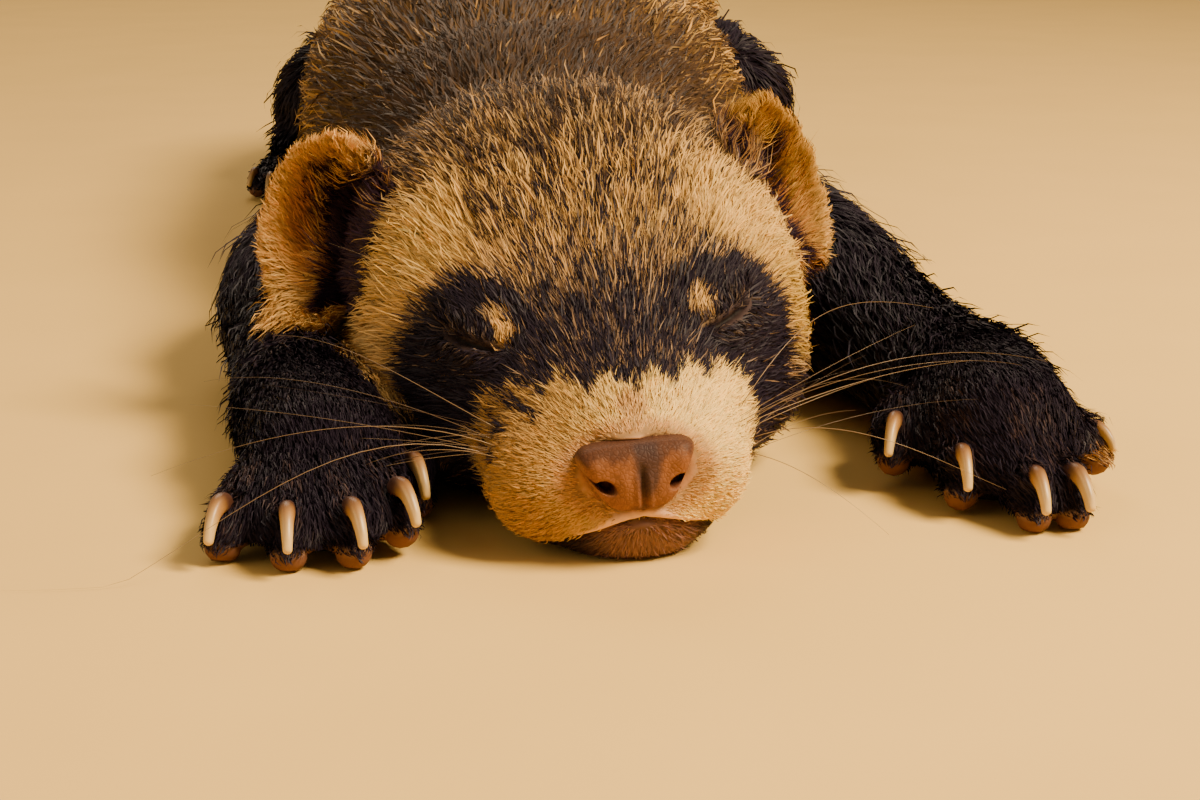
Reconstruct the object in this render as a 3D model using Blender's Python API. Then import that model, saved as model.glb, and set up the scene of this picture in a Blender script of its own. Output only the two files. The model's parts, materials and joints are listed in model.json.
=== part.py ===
"""A sleeping sable ferret, life size, lying on its belly with its chin and forepaws on the floor.

The flesh is modelled whole, to the tips of the coat, and then parted with thin cuts.
Lengths are given in millimetres through MM. The nose points to -Y, +Z is up, and the
floor is z = 0. Right and left are the animal's own: its left side is at +X.
"""

import math

import bmesh
import bpy
from mathutils import Matrix, Vector

MM = 0.001

# How the head lies: the nose's height, and its turn and tilt
NOSE_HEIGHT = 10.5 * MM
HEAD_YAW = math.radians(7.3)
HEAD_ROLL = math.radians(-4.9)

# The thin cut between neighbouring nodes
GAP = 0.3 * MM

# The belly's resting point, which becomes the origin, seen from the nose
BELLY = Vector((-20.0, 205.0, 0.0)) * MM

# Mesh sizes
TRUNK_VOXEL = 1.1 * MM
LIMB_VOXEL = 0.6 * MM
TRUNK_TRIANGLES = 4500
FORELEG_TRIANGLES = 1040
HINDLEG_TRIANGLES = 400
HINDFOOT_TRIANGLES = 480
RING_SIDES = 40
TUBE_SIDES = 20
CLAW_SIDES = 6
NOSE_SIDES = 28
EAR_SIDES = 24

# How strongly the decimation spares the crisp places, and the least weight it gives them
DETAIL_FACTOR = 0.004
DETAIL_FLOOR = 0.3
SHARP_ANGLE = math.radians(50)

# How often each body is smoothed: all over first, then again away from its crisp places
FIRST_ROUNDS = 5
TRUNK_ROUNDS = 240
LEG_ROUNDS = 60
FOOT_ROUNDS = 30

# The crisp places: how far from their middle the smoothing starts and is whole
FACE_REACH = (14 * MM, 44 * MM)
TAIL_REACH = (8 * MM, 60 * MM)
TOES_REACH = (14 * MM, 34 * MM)
FACE_MIDDLE = Vector((0.0, 4.0, 2.0)) * MM
TAIL_END_HEIGHT = 4.0

# How square the trunk's and the head's cross-sections are, where 2 is an ellipse
RING_POWER = 2.35

# Steps along the spine, the head, the legs and the toes between one ring and the next
SPINE_STEP = 5 * MM
HEAD_STEP = 3 * MM
LEG_STEP = 3 * MM
TAIL_STEP = 4 * MM
PALM_STEP = 1.6 * MM
TOE_STEP = 1.2 * MM

# How far a toe's root lies from the palm's end towards its knuckle
TOE_ROOT_SHARE = 0.35

# How deep the tail's underside is sunk below the floor, to be cut flat there
TAIL_SUNK = 0.6

# Points nearer than this are one, and so is the edge of a cut
WELD = 0.01 * MM
CUT_WELD = 1e-7

HEAD_MATRIX = (
    Matrix.Translation(Vector((0.0, 0.0, NOSE_HEIGHT)) - BELLY)
    @ Matrix.Rotation(HEAD_YAW, 4, "Z")
    @ Matrix.Rotation(HEAD_ROLL, 4, "Y")
)
BODY_MATRIX = Matrix.Translation(-BELLY)

# Each station of the head: distance behind the nose, half width, top and bottom from the nose's height
HEAD_STATIONS = (
    (0.2, 3.4, 2.4, -5.0),
    (1.2, 6.0, 4.0, -7.2),
    (4.6, 9.8, 6.4, -9.6),
    (11.0, 13.0, 9.3, -11.4),
    (17.0, 15.4, 12.0, -11.8),
    (23.0, 18.6, 16.0, -12.0),
    (30.0, 23.4, 21.2, -12.2),
    (39.0, 27.4, 26.4, -12.4),
    (50.0, 28.6, 30.4, -12.4),
    (62.0, 28.0, 33.0, -12.4),
    (76.0, 26.0, 33.0, -12.0),
    (90.0, 20.0, 27.0, -10.0),
)
# Rounded masses of the head, mirrored to both sides: the brow's and the cheek's centre and radii
HEAD_MASSES = (
    ((12.5, 29.0, 10.6), (8.0, 9.5, 7.6)),
    ((17.0, 43.0, 1.0), (12.0, 16.0, 13.0)),
)
# The whisker pads, right and left: the sleeping head leans on its right one
WHISKER_PADS = (
    ((-7.9, 9.4, -1.8), (7.9, 8.6, 7.2)),
    ((6.4, 8.8, -1.6), (6.8, 8.2, 7.0)),
)
CHIN = ((0.0, 10.0, -7.6), (8.4, 8.0, 4.6))

# Each station of the trunk: centre x and y, half width, top and bottom heights
TRUNK_STATIONS = (
    (-6.5, 56.0, 18.0, 36.0, -1.5),
    (-9.0, 74.0, 26.0, 44.0, -1.5),
    (-11.0, 92.0, 29.5, 47.5, -1.5),
    (-12.5, 112.0, 35.0, 51.0, -1.5),
    (-14.0, 134.0, 40.0, 54.0, -1.5),
    (-17.0, 164.0, 40.0, 55.5, -1.5),
    (-20.0, 204.0, 40.0, 57.5, -1.5),
    (-21.0, 246.0, 42.0, 60.0, -1.5),
    (-18.5, 284.0, 44.0, 60.0, -1.5),
    (-15.0, 316.0, 38.0, 52.0, -1.2),
    (-11.0, 342.0, 25.0, 37.0, -0.9),
    (-8.0, 362.0, 14.0, 25.0, -0.7),
)
# Shoulder and thigh muscles, at each side of the trunk's centre line: centre and radii
TRUNK_MASSES = (
    ((-35.0, 126.0, 20.0), (15.0, 26.0, 19.0)),
    ((10.0, 126.0, 20.0), (15.0, 26.0, 19.0)),
    ((-42.0, 290.0, 23.0), (20.0, 36.0, 24.0)),
    ((6.0, 290.0, 23.0), (20.0, 36.0, 24.0)),
)

# Each station of the tail: centre x and y, radius
TAIL_STATIONS = (
    (-9.0, 346.0, 13.0),
    (-3.5, 372.0, 11.4),
    (6.0, 398.0, 11.2),
    (13.0, 424.0, 11.0),
    (12.0, 450.0, 9.6),
    (3.0, 472.0, 7.2),
    (-8.0, 488.0, 3.0),
)

# Each leg is a chain of points and radii from its root inside the trunk
FORELEG = {
    "right": (
        ((-26.0, 128.0, 24.0), 13.0),
        ((-44.5, 93.0, 12.4), 12.4),
        ((-43.5, 66.0, 8.6), 9.2),
        ((-38.8, 38.0, 8.0), 8.6),
    ),
    "left": (
        ((4.0, 128.0, 24.0), 13.0),
        ((24.5, 94.0, 13.5), 12.6),
        ((34.5, 67.0, 9.2), 9.4),
        ((40.5, 46.0, 8.2), 8.6),
    ),
}
HINDLEG = {
    "right": (
        ((-36.0, 300.0, 26.0), 17.0),
        ((-60.0, 262.0, 19.0), 15.5),
        ((-60.5, 284.0, 15.5), 11.0),
        ((-62.0, 306.0, 9.5), 8.6),
    ),
    "left": (
        ((-1.0, 300.0, 26.0), 17.0),
        ((23.0, 262.0, 19.0), 15.5),
        ((23.5, 284.0, 15.5), 11.0),
        ((25.0, 306.0, 9.5), 8.6),
    ),
}

# Each paw: the palm's chain, then each toe's knuckle and tip, from the inner toe outwards
FOREPAW = {
    "right": {
        "palm": (((-38.5, 36.0, 7.8), 8.8), ((-34.5, 19.0, 6.8), 8.6)),
        "toes": (
            ((-27.0, 23.0, 5.8), (-24.6, 17.4, 3.8)),
            ((-29.6, 14.0, 6.8), (-25.2, 6.2, 4.2)),
            ((-32.8, 10.5, 6.8), (-29.6, 2.4, 3.2)),
            ((-36.8, 10.5, 6.6), (-35.8, 1.8, 3.0)),
            ((-40.8, 13.0, 5.6), (-42.6, 4.6, 3.0)),
        ),
    },
    "left": {
        "palm": (((41.0, 44.0, 8.2), 8.8), ((42.0, 28.0, 7.2), 9.0)),
        "toes": (
            ((31.8, 36.0, 7.2), (30.3, 30.6, 5.0)),
            ((36.8, 26.6, 7.2), (36.6, 21.0, 3.8)),
            ((41.6, 21.5, 7.2), (42.8, 14.8, 3.0)),
            ((45.2, 22.5, 6.8), (47.2, 15.8, 3.0)),
            ((49.0, 35.0, 6.8), (52.4, 31.4, 4.8)),
        ),
    },
}
HINDPAW = {
    "right": {
        "palm": (((-64.0, 307.0, 6.6), 7.4), ((-67.0, 282.0, 6.0), 7.4), ((-68.0, 257.0, 5.8), 8.0)),
        "toes": (
            ((-60.4, 252.0, 5.4), (-59.4, 245.0, 3.0)),
            ((-63.8, 248.0, 6.2), (-63.4, 239.0, 3.0)),
            ((-67.6, 247.0, 6.2), (-67.8, 237.0, 3.0)),
            ((-71.2, 249.0, 6.0), (-72.4, 239.5, 3.0)),
            ((-73.8, 254.0, 5.2), (-76.4, 246.0, 3.0)),
        ),
    },
    "left": {
        "palm": (((27.0, 307.0, 6.6), 7.4), ((30.0, 282.0, 6.0), 7.4), ((31.0, 257.0, 5.8), 8.0)),
        "toes": (
            ((23.4, 252.0, 5.4), (22.4, 245.0, 3.0)),
            ((26.8, 248.0, 6.2), (26.4, 239.0, 3.0)),
            ((30.6, 247.0, 6.2), (30.8, 237.0, 3.0)),
            ((34.2, 249.0, 6.0), (35.4, 239.5, 3.0)),
            ((36.8, 254.0, 5.2), (39.4, 246.0, 3.0)),
        ),
    },
}
TOE_RADIUS = 3.5 * MM
TOE_TIP_RADIUS = 3.1 * MM

# Each claw's points from the centre of its toe's tip, as along and up, and its radii
CLAW_LINE = ((-3.6, 2.5), (-1.8, 4.0), (0.5, 4.7), (2.7, 4.3), (4.3, 3.0), (4.9, 1.5))
CLAW_RADII = (0.9, 1.05, 1.05, 0.95, 0.8, 0.6)
HIND_CLAW_SHARE = 0.85

# How far apart a claw's rings lie, and the turns of the rings that round off a limb's end
CLAW_STEP = 3 * MM
DOME_TURNS = (75, 50, 25)
CLAW_DOME_TURNS = (50,)

# The closed eyes, as the lids' centre, the slit's direction and the way they face
EYE_CENTRE = Vector((12.7, 22.2, 9.3)) * MM
EYE_SLIT = Vector((5.4, 4.9, 2.2))
EYE_FACING = Vector((0.42, -0.50, 0.76))
EYE_RADII = Vector((5.0, 3.0, 2.9)) * MM
SLIT_SAG = 0.9 * MM
SLIT_RADIUS = 0.45 * MM
SLIT_HALF = 0.86
SLIT_SHARES = (-1.1, -0.8, -0.4, 0.0, 0.4, 0.8, 1.1)
SLIT_SIDES = 8
LEAST_HEIGHT = 0.02

# The ears: a rounded cup on each side of the head, by side: its centre and the way it opens,
# both mirrored to the left, where the ear is turned further out
EAR_CENTRE = {-1: Vector((29.6, 56.0, 19.0)) * MM, 1: Vector((28.6, 56.0, 18.2)) * MM}
EAR_FACING = {-1: Vector((0.64, -0.70, 0.30)), 1: Vector((0.79, -0.54, 0.29))}
EAR_LEAN = Vector((-0.05, 0.25, 0.95))
EAR_HALF_WIDTH = 10.4 * MM
EAR_HALF_HEIGHT = 11.4 * MM
EAR_CUP = 7.2 * MM
EAR_BOWL_POWER = 2.7
EAR_WALL = 3.2 * MM
EAR_INNER_SHARES = (0.12, 0.35, 0.58, 0.78, 0.89)
EAR_OUTER_SHARES = (0.9, 0.74, 0.5, 0.25, 0.1)
# The rim's rings, as shares of the ear's half size and of half its wall
EAR_RIM = ((0.955, 0.86), (1.0, 0.1), (0.985, -0.8))

# The nose pad: half widths at its top and bottom, its top and bottom from its centre, and
# how far each ring of it lies behind the nose's tip and how wide it is drawn there
NOSE_TOP_HALF = 6.0
NOSE_LOW_HALF = 3.5
NOSE_TOP = 3.1
NOSE_LOW = -3.6
NOSE_RINGS = ((-1.4, 0.55), (-1.1, 0.78), (-0.4, 0.93), (0.8, 1.0), (3.6, 0.94))
NOSE_SQUARENESS = 0.62
NOSTRIL_CENTRE = Vector((3.0, -1.2, -1.2)) * MM
NOSTRIL_RADII = Vector((1.5, 1.9, 0.85)) * MM
NOSTRIL_TILT = math.radians(32)
NOSTRIL_DETAIL = 2

# The line of the mouth, below the nose: its height at the front, how far it droops under the
# whisker pads and rises again, and how far back its corners lie
MOUTH_FRONT = -5.2
MOUTH_DROOP = 2.6
MOUTH_RISE = 1.4
MOUTH_CORNER = 25.0
MOUTH_HALF_WIDTH = 20.0
# How far aside the droop is whole, and where the rise starts and how long it takes
DROOP_REACH = 9.0
RISE_START = 10.0
RISE_LENGTH = 14.0
# The block that parts the jaw: its front and floor from the nose, and its columns and rows
JAW_FRONT = -8.0
JAW_FLOOR = -24.0
JAW_COLUMNS = 28
JAW_ROWS = 14

# Where the spine is parted, as distances behind the nose
SPINE_CUTS = (
    ("neck", 113), ("chest", 180), ("loin", 258), ("rump", 352),
    ("tail_root", 398), ("tail_middle", 446),
)
HEAD_LENGTH = 74.0 * MM

SABLE = (0.022, 0.014, 0.012)
AGOUTI = (0.20, 0.12, 0.055)
CREAM = (0.62, 0.42, 0.22)
PINK = (0.50, 0.22, 0.13)
HORN = (0.72, 0.58, 0.36)


def material(name: str, colour, roughness: float):
    """Return the named material, made on first use."""
    found = bpy.data.materials.get(name)
    if found:
        return found
    made = bpy.data.materials.new(name)
    made.use_nodes = True
    shader = made.node_tree.nodes["Principled BSDF"]
    shader.inputs["Base Color"].default_value = (*colour, 1.0)
    shader.inputs["Roughness"].default_value = roughness
    made.diffuse_color = (*colour, 1.0)
    return made


def object_from(name: str, shape: bmesh.types.BMesh):
    """Turn a bmesh into a linked object and free it."""
    mesh = bpy.data.meshes.new(name)
    shape.to_mesh(mesh)
    shape.free()
    made = bpy.data.objects.new(name, mesh)
    bpy.context.scene.collection.objects.link(made)
    return made


def copy_of(source, name: str):
    """Return a linked copy with its own mesh."""
    made = source.copy()
    made.data = source.data.copy()
    made.name = name
    bpy.context.scene.collection.objects.link(made)
    return made


def discard(*objects):
    """Remove helper objects."""
    for item in objects:
        bpy.data.objects.remove(item)


def apply_modifiers(target):
    """Replace the object's mesh by its evaluated one."""
    bpy.context.view_layer.update()
    graph = bpy.context.evaluated_depsgraph_get()
    made = bpy.data.meshes.new_from_object(target.evaluated_get(graph))
    target.modifiers.clear()
    target.data = made
    return target


def boolean(target, other, operation: str):
    """Cut, join or intersect the target with another closed object."""
    modifier = target.modifiers.new(operation.title(), "BOOLEAN")
    modifier.operation = operation
    modifier.solver = "EXACT"
    modifier.object = other
    return apply_modifiers(target)


def islands(shape: bmesh.types.BMesh):
    """Yield the vertices of each connected surface."""
    left = set(shape.verts)
    while left:
        group = {left.pop()}
        front = list(group)
        while front:
            vertex = front.pop()
            for edge in vertex.link_edges:
                other = edge.other_vert(vertex)
                if other not in group:
                    group.add(other)
                    front.append(other)
        left -= group
        yield group


def keep_largest(target):
    """Keep only the connected surface with the largest box, and triangulate it."""
    shape = bmesh.new()
    shape.from_mesh(target.data)

    def spread(group):
        corners = [[v.co[axis] for v in group] for axis in range(3)]
        return math.prod(max(values) - min(values) for values in corners)

    groups = sorted(islands(shape), key=spread)
    loose = [vertex for group in groups[:-1] for vertex in group]
    bmesh.ops.delete(shape, geom=loose, context="VERTS")
    bmesh.ops.dissolve_degenerate(shape, dist=WELD, edges=shape.edges)
    bmesh.ops.triangulate(shape, faces=shape.faces)
    shape.to_mesh(target.data)
    shape.free()
    return target


def grown(source, distance: float):
    """Return a helper copy with every point moved out along its normal."""
    made = copy_of(source, "grown_" + source.name)
    shape = bmesh.new()
    shape.from_mesh(made.data)
    shape.normal_update()
    moved = [vertex.co + vertex.normal * distance for vertex in shape.verts]
    for vertex, place in zip(shape.verts, moved):
        vertex.co = place
    shape.to_mesh(made.data)
    shape.free()
    return made


def seat(target, piece, distance: float = GAP):
    """Cut room for a piece into the target, a gap wider than the piece."""
    cutter = grown(piece, distance)
    boolean(target, cutter, "DIFFERENCE")
    discard(cutter)
    return keep_largest(target)


def halves(source, point: Vector, normal: Vector, names):
    """Part an object by a plane with a gap, and return the sides along and against its normal."""
    made = []
    for name, sign in zip(names, (1.0, -1.0)):
        half = copy_of(source, name)
        shape = bmesh.new()
        shape.from_mesh(half.data)
        outward = normal.normalized() * sign
        bmesh.ops.bisect_plane(
            shape,
            geom=shape.verts[:] + shape.edges[:] + shape.faces[:],
            dist=CUT_WELD,
            plane_co=point + outward * GAP / 2,
            plane_no=outward,
            clear_inner=True,
        )
        rim = [edge for edge in shape.edges if edge.is_boundary]
        bmesh.ops.edgeloop_fill(shape, edges=rim)
        bmesh.ops.recalc_face_normals(shape, faces=shape.faces)
        shape.to_mesh(half.data)
        shape.free()
        made.append(keep_largest(half))
    discard(source)
    for name, half in zip(names, made):
        half.name = name
    return made


def smooth_chain(knots, step: float):
    """Sample a Catmull-Rom curve through knots of any length, about one step apart."""
    points = [Vector(knot) for knot in knots]
    padded = [2 * points[0] - points[1], *points, 2 * points[-1] - points[-2]]
    samples = []
    for a, b, c, d in zip(padded, padded[1:], padded[2:], padded[3:]):
        count = max(1, round((c - b).length / step))
        for index in range(count):
            t = index / count
            samples.append(
                0.5 * (2 * b + (c - a) * t + (2 * a - 5 * b + 4 * c - d) * t * t
                       + (3 * b - 3 * c + d - a) * t ** 3)
            )
    samples.append(points[-1])
    return samples


def skin_rings(shape, rings):
    """Join rings of equal length into a closed skin with a point at each end."""
    rows = [[shape.verts.new(place) for place in ring] for ring in rings]
    for row, following in zip(rows, rows[1:]):
        for index, vertex in enumerate(row):
            beside = (index + 1) % len(row)
            shape.faces.new((vertex, row[beside], following[beside], following[index]))
    for row, turned in ((rows[0], True), (rows[-1], False)):
        centre = shape.verts.new(sum((v.co for v in row), Vector()) / len(row))
        for index, vertex in enumerate(row):
            beside = row[(index + 1) % len(row)]
            shape.faces.new((beside, vertex, centre) if turned else (vertex, beside, centre))


def body_ring(centre: Vector, across: Vector, half_width: float, top: float, bottom: float):
    """Return a rounded, slightly square cross-section standing on its own bottom."""
    squareness = 2.0 / RING_POWER
    middle = (top + bottom) / 2
    half_height = (top - bottom) / 2
    ring = []
    for index in range(RING_SIDES):
        angle = math.tau * index / RING_SIDES
        sideways = math.copysign(abs(math.cos(angle)) ** squareness, math.cos(angle))
        upwards = math.copysign(abs(math.sin(angle)) ** squareness, math.sin(angle))
        ring.append(centre + across * half_width * sideways
                    + Vector((0, 0, middle + half_height * upwards)))
    return ring


def add_trunk(shape):
    """Loft the neck, chest, loin and rump along the spine."""
    spine = smooth_chain([Vector((x, y, 0)) * MM for x, y, *_ in TRUNK_STATIONS], SPINE_STEP)
    widths = smooth_chain(
        [Vector((width, top, bottom)) * MM for _, _, width, top, bottom in TRUNK_STATIONS],
        1.0,
    )
    stations = smooth_chain_pairs(spine, widths)
    rings = []
    for place, along, size in stations:
        across = Vector((along.y, -along.x, 0)).normalized()
        rings.append(body_ring(BODY_MATRIX @ place, across, size.x, size.y, size.z))
    skin_rings(shape, rings)


def smooth_chain_pairs(spine, widths):
    """Pair each spine point with its direction and with sizes read at the same share of the way."""
    paired = []
    last = len(spine) - 1
    for index, place in enumerate(spine):
        along = spine[min(index + 1, last)] - spine[max(index - 1, 0)]
        share = index / last * (len(widths) - 1)
        low = min(int(share), len(widths) - 2)
        paired.append((place, along, widths[low].lerp(widths[low + 1], share - low)))
    return paired


def add_ball(shape, centre: Vector, radii: Vector, matrix: Matrix, detail: int = 3):
    """Add an ellipsoid at a place of the given frame."""
    place = matrix @ Matrix.Translation(centre) @ Matrix.Diagonal((*radii, 1.0))
    bmesh.ops.create_icosphere(shape, subdivisions=detail, radius=1.0, matrix=place)


def add_limb(shape, knots, step: float = PALM_STEP, sides: int = TUBE_SIDES, matrix=BODY_MATRIX):
    """Add a round limb along a smooth chain of points and radii, with domed ends."""
    line = smooth_chain([(*(Vector(p) * MM), r * MM) for p, r in knots], step)
    turns = DOME_TURNS if sides > CLAW_SIDES else CLAW_DOME_TURNS
    angles = [math.radians(turn) for turn in turns]
    centres = [Vector(sample[:3]) for sample in line]
    aside = (centres[1] - centres[0]).orthogonal().normalized()
    rings = []
    for index, sample in enumerate(line):
        before, after = centres[max(index - 1, 0)], centres[min(index + 1, len(line) - 1)]
        along = (after - before).normalized()
        aside = (aside - along * aside.dot(along)).normalized()
        upward = along.cross(aside)
        for shift, share in dome_steps(index, len(line), angles):
            radius = sample[3] * share
            centre = centres[index] + along * shift * sample[3]
            rings.append([
                matrix @ (centre + (aside * math.cos(turn) + upward * math.sin(turn)) * radius)
                for turn in (math.tau * k / sides for k in range(sides))
            ])
    skin_rings(shape, rings)


def dome_steps(index: int, count: int, angles):
    """Return the shifts and radius shares of the rings at one sample, with a dome at each end."""
    if index == 0:
        return [(-math.sin(a), math.cos(a)) for a in angles] + [(0.0, 1.0)]
    if index == count - 1:
        return [(0.0, 1.0)] + [(math.sin(a), math.cos(a)) for a in reversed(angles)]
    return [(0.0, 1.0)]


def add_head(shape):
    """Loft the skull and muzzle and add the cheeks, whisker pads, brows and chin."""
    stations = smooth_chain([Vector(s) * MM for s in HEAD_STATIONS], HEAD_STEP)
    rings = []
    for distance, half_width, top, bottom in stations:
        ring = body_ring(Vector((0, distance, 0)), Vector((-1, 0, 0)), half_width, top, bottom)
        rings.append([HEAD_MATRIX @ place for place in ring])
    skin_rings(shape, rings)
    for side in (-1, 1):
        for centre, radii in HEAD_MASSES:
            place = Vector((centre[0] * side, *centre[1:])) * MM
            add_ball(shape, place, Vector(radii) * MM, HEAD_MATRIX)
    for centre, radii in (*WHISKER_PADS, CHIN):
        add_ball(shape, Vector(centre) * MM, Vector(radii) * MM, HEAD_MATRIX)


def add_paw(shape, paw):
    """Add the palm, and each toe from the palm over its knuckle to its tip."""
    add_limb(shape, paw["palm"])
    root = paw["palm"][-1][0]
    for knuckle, tip in paw["toes"]:
        start = Vector(root).lerp(Vector(knuckle), TOE_ROOT_SHARE)
        add_limb(
            shape,
            (
                (start, TOE_RADIUS / MM),
                (knuckle, TOE_RADIUS / MM),
                (tip, TOE_TIP_RADIUS / MM),
            ),
            TOE_STEP,
        )


def blend_weights(target, sharp_places):
    """Give each point weights that fall near the places that stay crisp and finely faceted."""
    group = target.vertex_groups.new(name="blend")
    facets = target.vertex_groups.new(name="facets")
    for vertex in target.data.vertices:
        weight, fineness = 1.0, 1.0
        for centre, inner, outer, fine in sharp_places:
            share = ((vertex.co - centre).length - inner) / (outer - inner)
            weight = min(weight, max(share, 0.0))
            if fine:
                fineness = min(fineness, max(share, DETAIL_FLOOR))
        group.add([vertex.index], weight, "REPLACE")
        facets.add([vertex.index], fineness, "REPLACE")


def clay(name: str, shape, voxel: float, rounds: int, triangles: int, crisp):
    """Fuse overlapping forms into one smooth closed surface of few triangles, flat on the floor."""
    target = object_from(name, shape)
    remesh = target.modifiers.new("Fuse", "REMESH")
    remesh.mode = "VOXEL"
    remesh.voxel_size = voxel
    apply_modifiers(target)
    blend_weights(target, crisp)
    for label, count, group in (("Soften", FIRST_ROUNDS, ""), ("Blend", rounds, "blend")):
        smooth = target.modifiers.new(label, "SMOOTH")
        smooth.factor = 0.5
        smooth.iterations = count
        smooth.vertex_group = group
    apply_modifiers(target)
    decimate = target.modifiers.new("Facets", "DECIMATE")
    decimate.ratio = triangles / (2 * len(target.data.polygons))
    decimate.vertex_group = "facets"
    decimate.vertex_group_factor = DETAIL_FACTOR
    apply_modifiers(target)
    target.vertex_groups.clear()
    return stand_on_floor(target)


def stand_on_floor(target):
    """Cut off what reaches below the floor, so that it rests on flats at one level."""
    shape = bmesh.new()
    shape.from_mesh(target.data)
    bmesh.ops.bisect_plane(
        shape,
        geom=shape.verts[:] + shape.edges[:] + shape.faces[:],
        dist=CUT_WELD,
        plane_co=Vector(),
        plane_no=Vector((0, 0, -1)),
        clear_outer=True,
    )
    rim = [edge for edge in shape.edges if edge.is_boundary]
    bmesh.ops.edgeloop_fill(shape, edges=rim)
    bmesh.ops.recalc_face_normals(shape, faces=shape.faces)
    shape.to_mesh(target.data)
    shape.free()
    return keep_largest(target)


def model_trunk():
    """Model the head, neck, torso and tail as one body."""
    shape = bmesh.new()
    add_head(shape)
    add_trunk(shape)
    for centre, radii in TRUNK_MASSES:
        add_ball(shape, Vector(centre) * MM, Vector(radii) * MM, BODY_MATRIX)
    tail = [((x, y, radius - TAIL_SUNK), radius) for x, y, radius in TAIL_STATIONS]
    add_limb(shape, tail, TAIL_STEP)
    face = (HEAD_MATRIX @ FACE_MIDDLE, *FACE_REACH, True)
    tail_end = Vector((*TAIL_STATIONS[-1][:2], TAIL_END_HEIGHT)) * MM
    crisp = (face, (BODY_MATRIX @ tail_end, *TAIL_REACH, False))
    return clay("trunk", shape, TRUNK_VOXEL, TRUNK_ROUNDS, TRUNK_TRIANGLES, crisp)


def model_foreleg(side: str):
    """Model one foreleg with its paw."""
    shape = bmesh.new()
    add_limb(shape, FORELEG[side], LEG_STEP)
    add_paw(shape, FOREPAW[side])
    crisp = ((toes_middle(FOREPAW[side]), *TOES_REACH, True),)
    return clay("foreleg_" + side, shape, LIMB_VOXEL, LEG_ROUNDS, FORELEG_TRIANGLES, crisp)


def toes_middle(paw):
    """Return the middle of a paw's toe tips."""
    tips = [BODY_MATRIX @ (Vector(tip) * MM) for _, tip in paw["toes"]]
    return sum(tips, Vector()) / len(tips)


def model_hindleg(side: str):
    """Model one hind leg down to its heel, and its foot, parted by a gap."""
    shape = bmesh.new()
    add_limb(shape, HINDLEG[side], LEG_STEP)
    leg = clay("hindleg_" + side, shape, LIMB_VOXEL, LEG_ROUNDS, HINDLEG_TRIANGLES, ())
    shape = bmesh.new()
    add_paw(shape, HINDPAW[side])
    crisp = ((toes_middle(HINDPAW[side]), *TOES_REACH, True),)
    foot = clay("hindfoot_" + side, shape, LIMB_VOXEL, FOOT_ROUNDS, HINDFOOT_TRIANGLES, crisp)
    return seat(leg, foot), foot


def along_spine(distance: float):
    """Return a cutting plane across the trunk at a distance behind the nose."""
    stations = [Vector((x, y, 0)) * MM for x, y, *_ in TRUNK_STATIONS + TAIL_STATIONS[1:]]
    for before, after in zip(stations, stations[1:]):
        if before.y <= distance <= after.y:
            share = (distance - before.y) / (after.y - before.y)
            return BODY_MATRIX @ before.lerp(after, share), (after - before).normalized()
    raise ValueError("the distance is off the spine")


def part_trunk(trunk):
    """Cut the trunk into head, neck, torso and tail, and return them by name."""
    nodes = {}
    neck_cut = HEAD_MATRIX @ Vector((0, HEAD_LENGTH, 0))
    neck_way = HEAD_MATRIX.to_3x3() @ Vector((0, 1, 0))
    rest, nodes["head"] = halves(trunk, neck_cut, neck_way, ("rest", "head"))
    for name, distance in SPINE_CUTS:
        point, way = along_spine(distance * MM)
        rest, nodes[name] = halves(rest, point, way, ("rest", name))
    rest.name = "tail_tip"
    nodes["tail_tip"] = rest
    return nodes


def part_foreleg(side: str, leg):
    """Cut the paw from a foreleg at the wrist, and return both by name."""
    wrist, palm = [Vector(point) for point, _ in FOREPAW[side]["palm"]]
    point = BODY_MATRIX @ (wrist * MM)
    paw, arm = halves(leg, point, palm - wrist, ("forepaw_" + side, "foreleg_" + side))
    return {"forepaw_" + side: paw, "foreleg_" + side: arm}


def mouth_height(across: float, back: float):
    """Return the height of the line of the mouth, in millimetres from the nose's height."""
    aside = min(abs(across) / DROOP_REACH, 1.0)
    droop = MOUTH_DROOP * aside * aside * (3 - 2 * aside)
    rise = MOUTH_RISE * min(max((back - RISE_START) / RISE_LENGTH, 0.0), 1.0)
    return MOUTH_FRONT - droop + rise


def mouth_block(grow: float):
    """Return a helper that fills the room below the line of the mouth, grown all round."""
    shape = bmesh.new()
    layers = []
    for low in (True, False):
        grid = []
        for row in range(JAW_ROWS + 1):
            back = JAW_FRONT + (MOUTH_CORNER + grow - JAW_FRONT) * row / JAW_ROWS
            line = []
            for column in range(JAW_COLUMNS + 1):
                across = (MOUTH_HALF_WIDTH + grow) * (2 * column / JAW_COLUMNS - 1)
                height = JAW_FLOOR if low else mouth_height(across, back) + grow
                place = HEAD_MATRIX @ (Vector((across, back, height)) * MM)
                line.append(shape.verts.new(place))
            grid.append(line)
        layers.append(grid)
    for grid in layers:
        for line, following in zip(grid, grid[1:]):
            for index in range(JAW_COLUMNS):
                shape.faces.new((line[index], line[index + 1],
                                 following[index + 1], following[index]))
    low, high = layers
    around = [(0, c) for c in range(JAW_COLUMNS)]
    around += [(r, JAW_COLUMNS) for r in range(JAW_ROWS)]
    around += [(JAW_ROWS, c) for c in range(JAW_COLUMNS, 0, -1)]
    around += [(r, 0) for r in range(JAW_ROWS, 0, -1)]
    for (r, c), (r2, c2) in zip(around, around[1:] + around[:1]):
        shape.faces.new((low[r][c], low[r2][c2], high[r2][c2], high[r][c]))
    bmesh.ops.recalc_face_normals(shape, faces=shape.faces)
    return object_from("mouth", shape)


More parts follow.
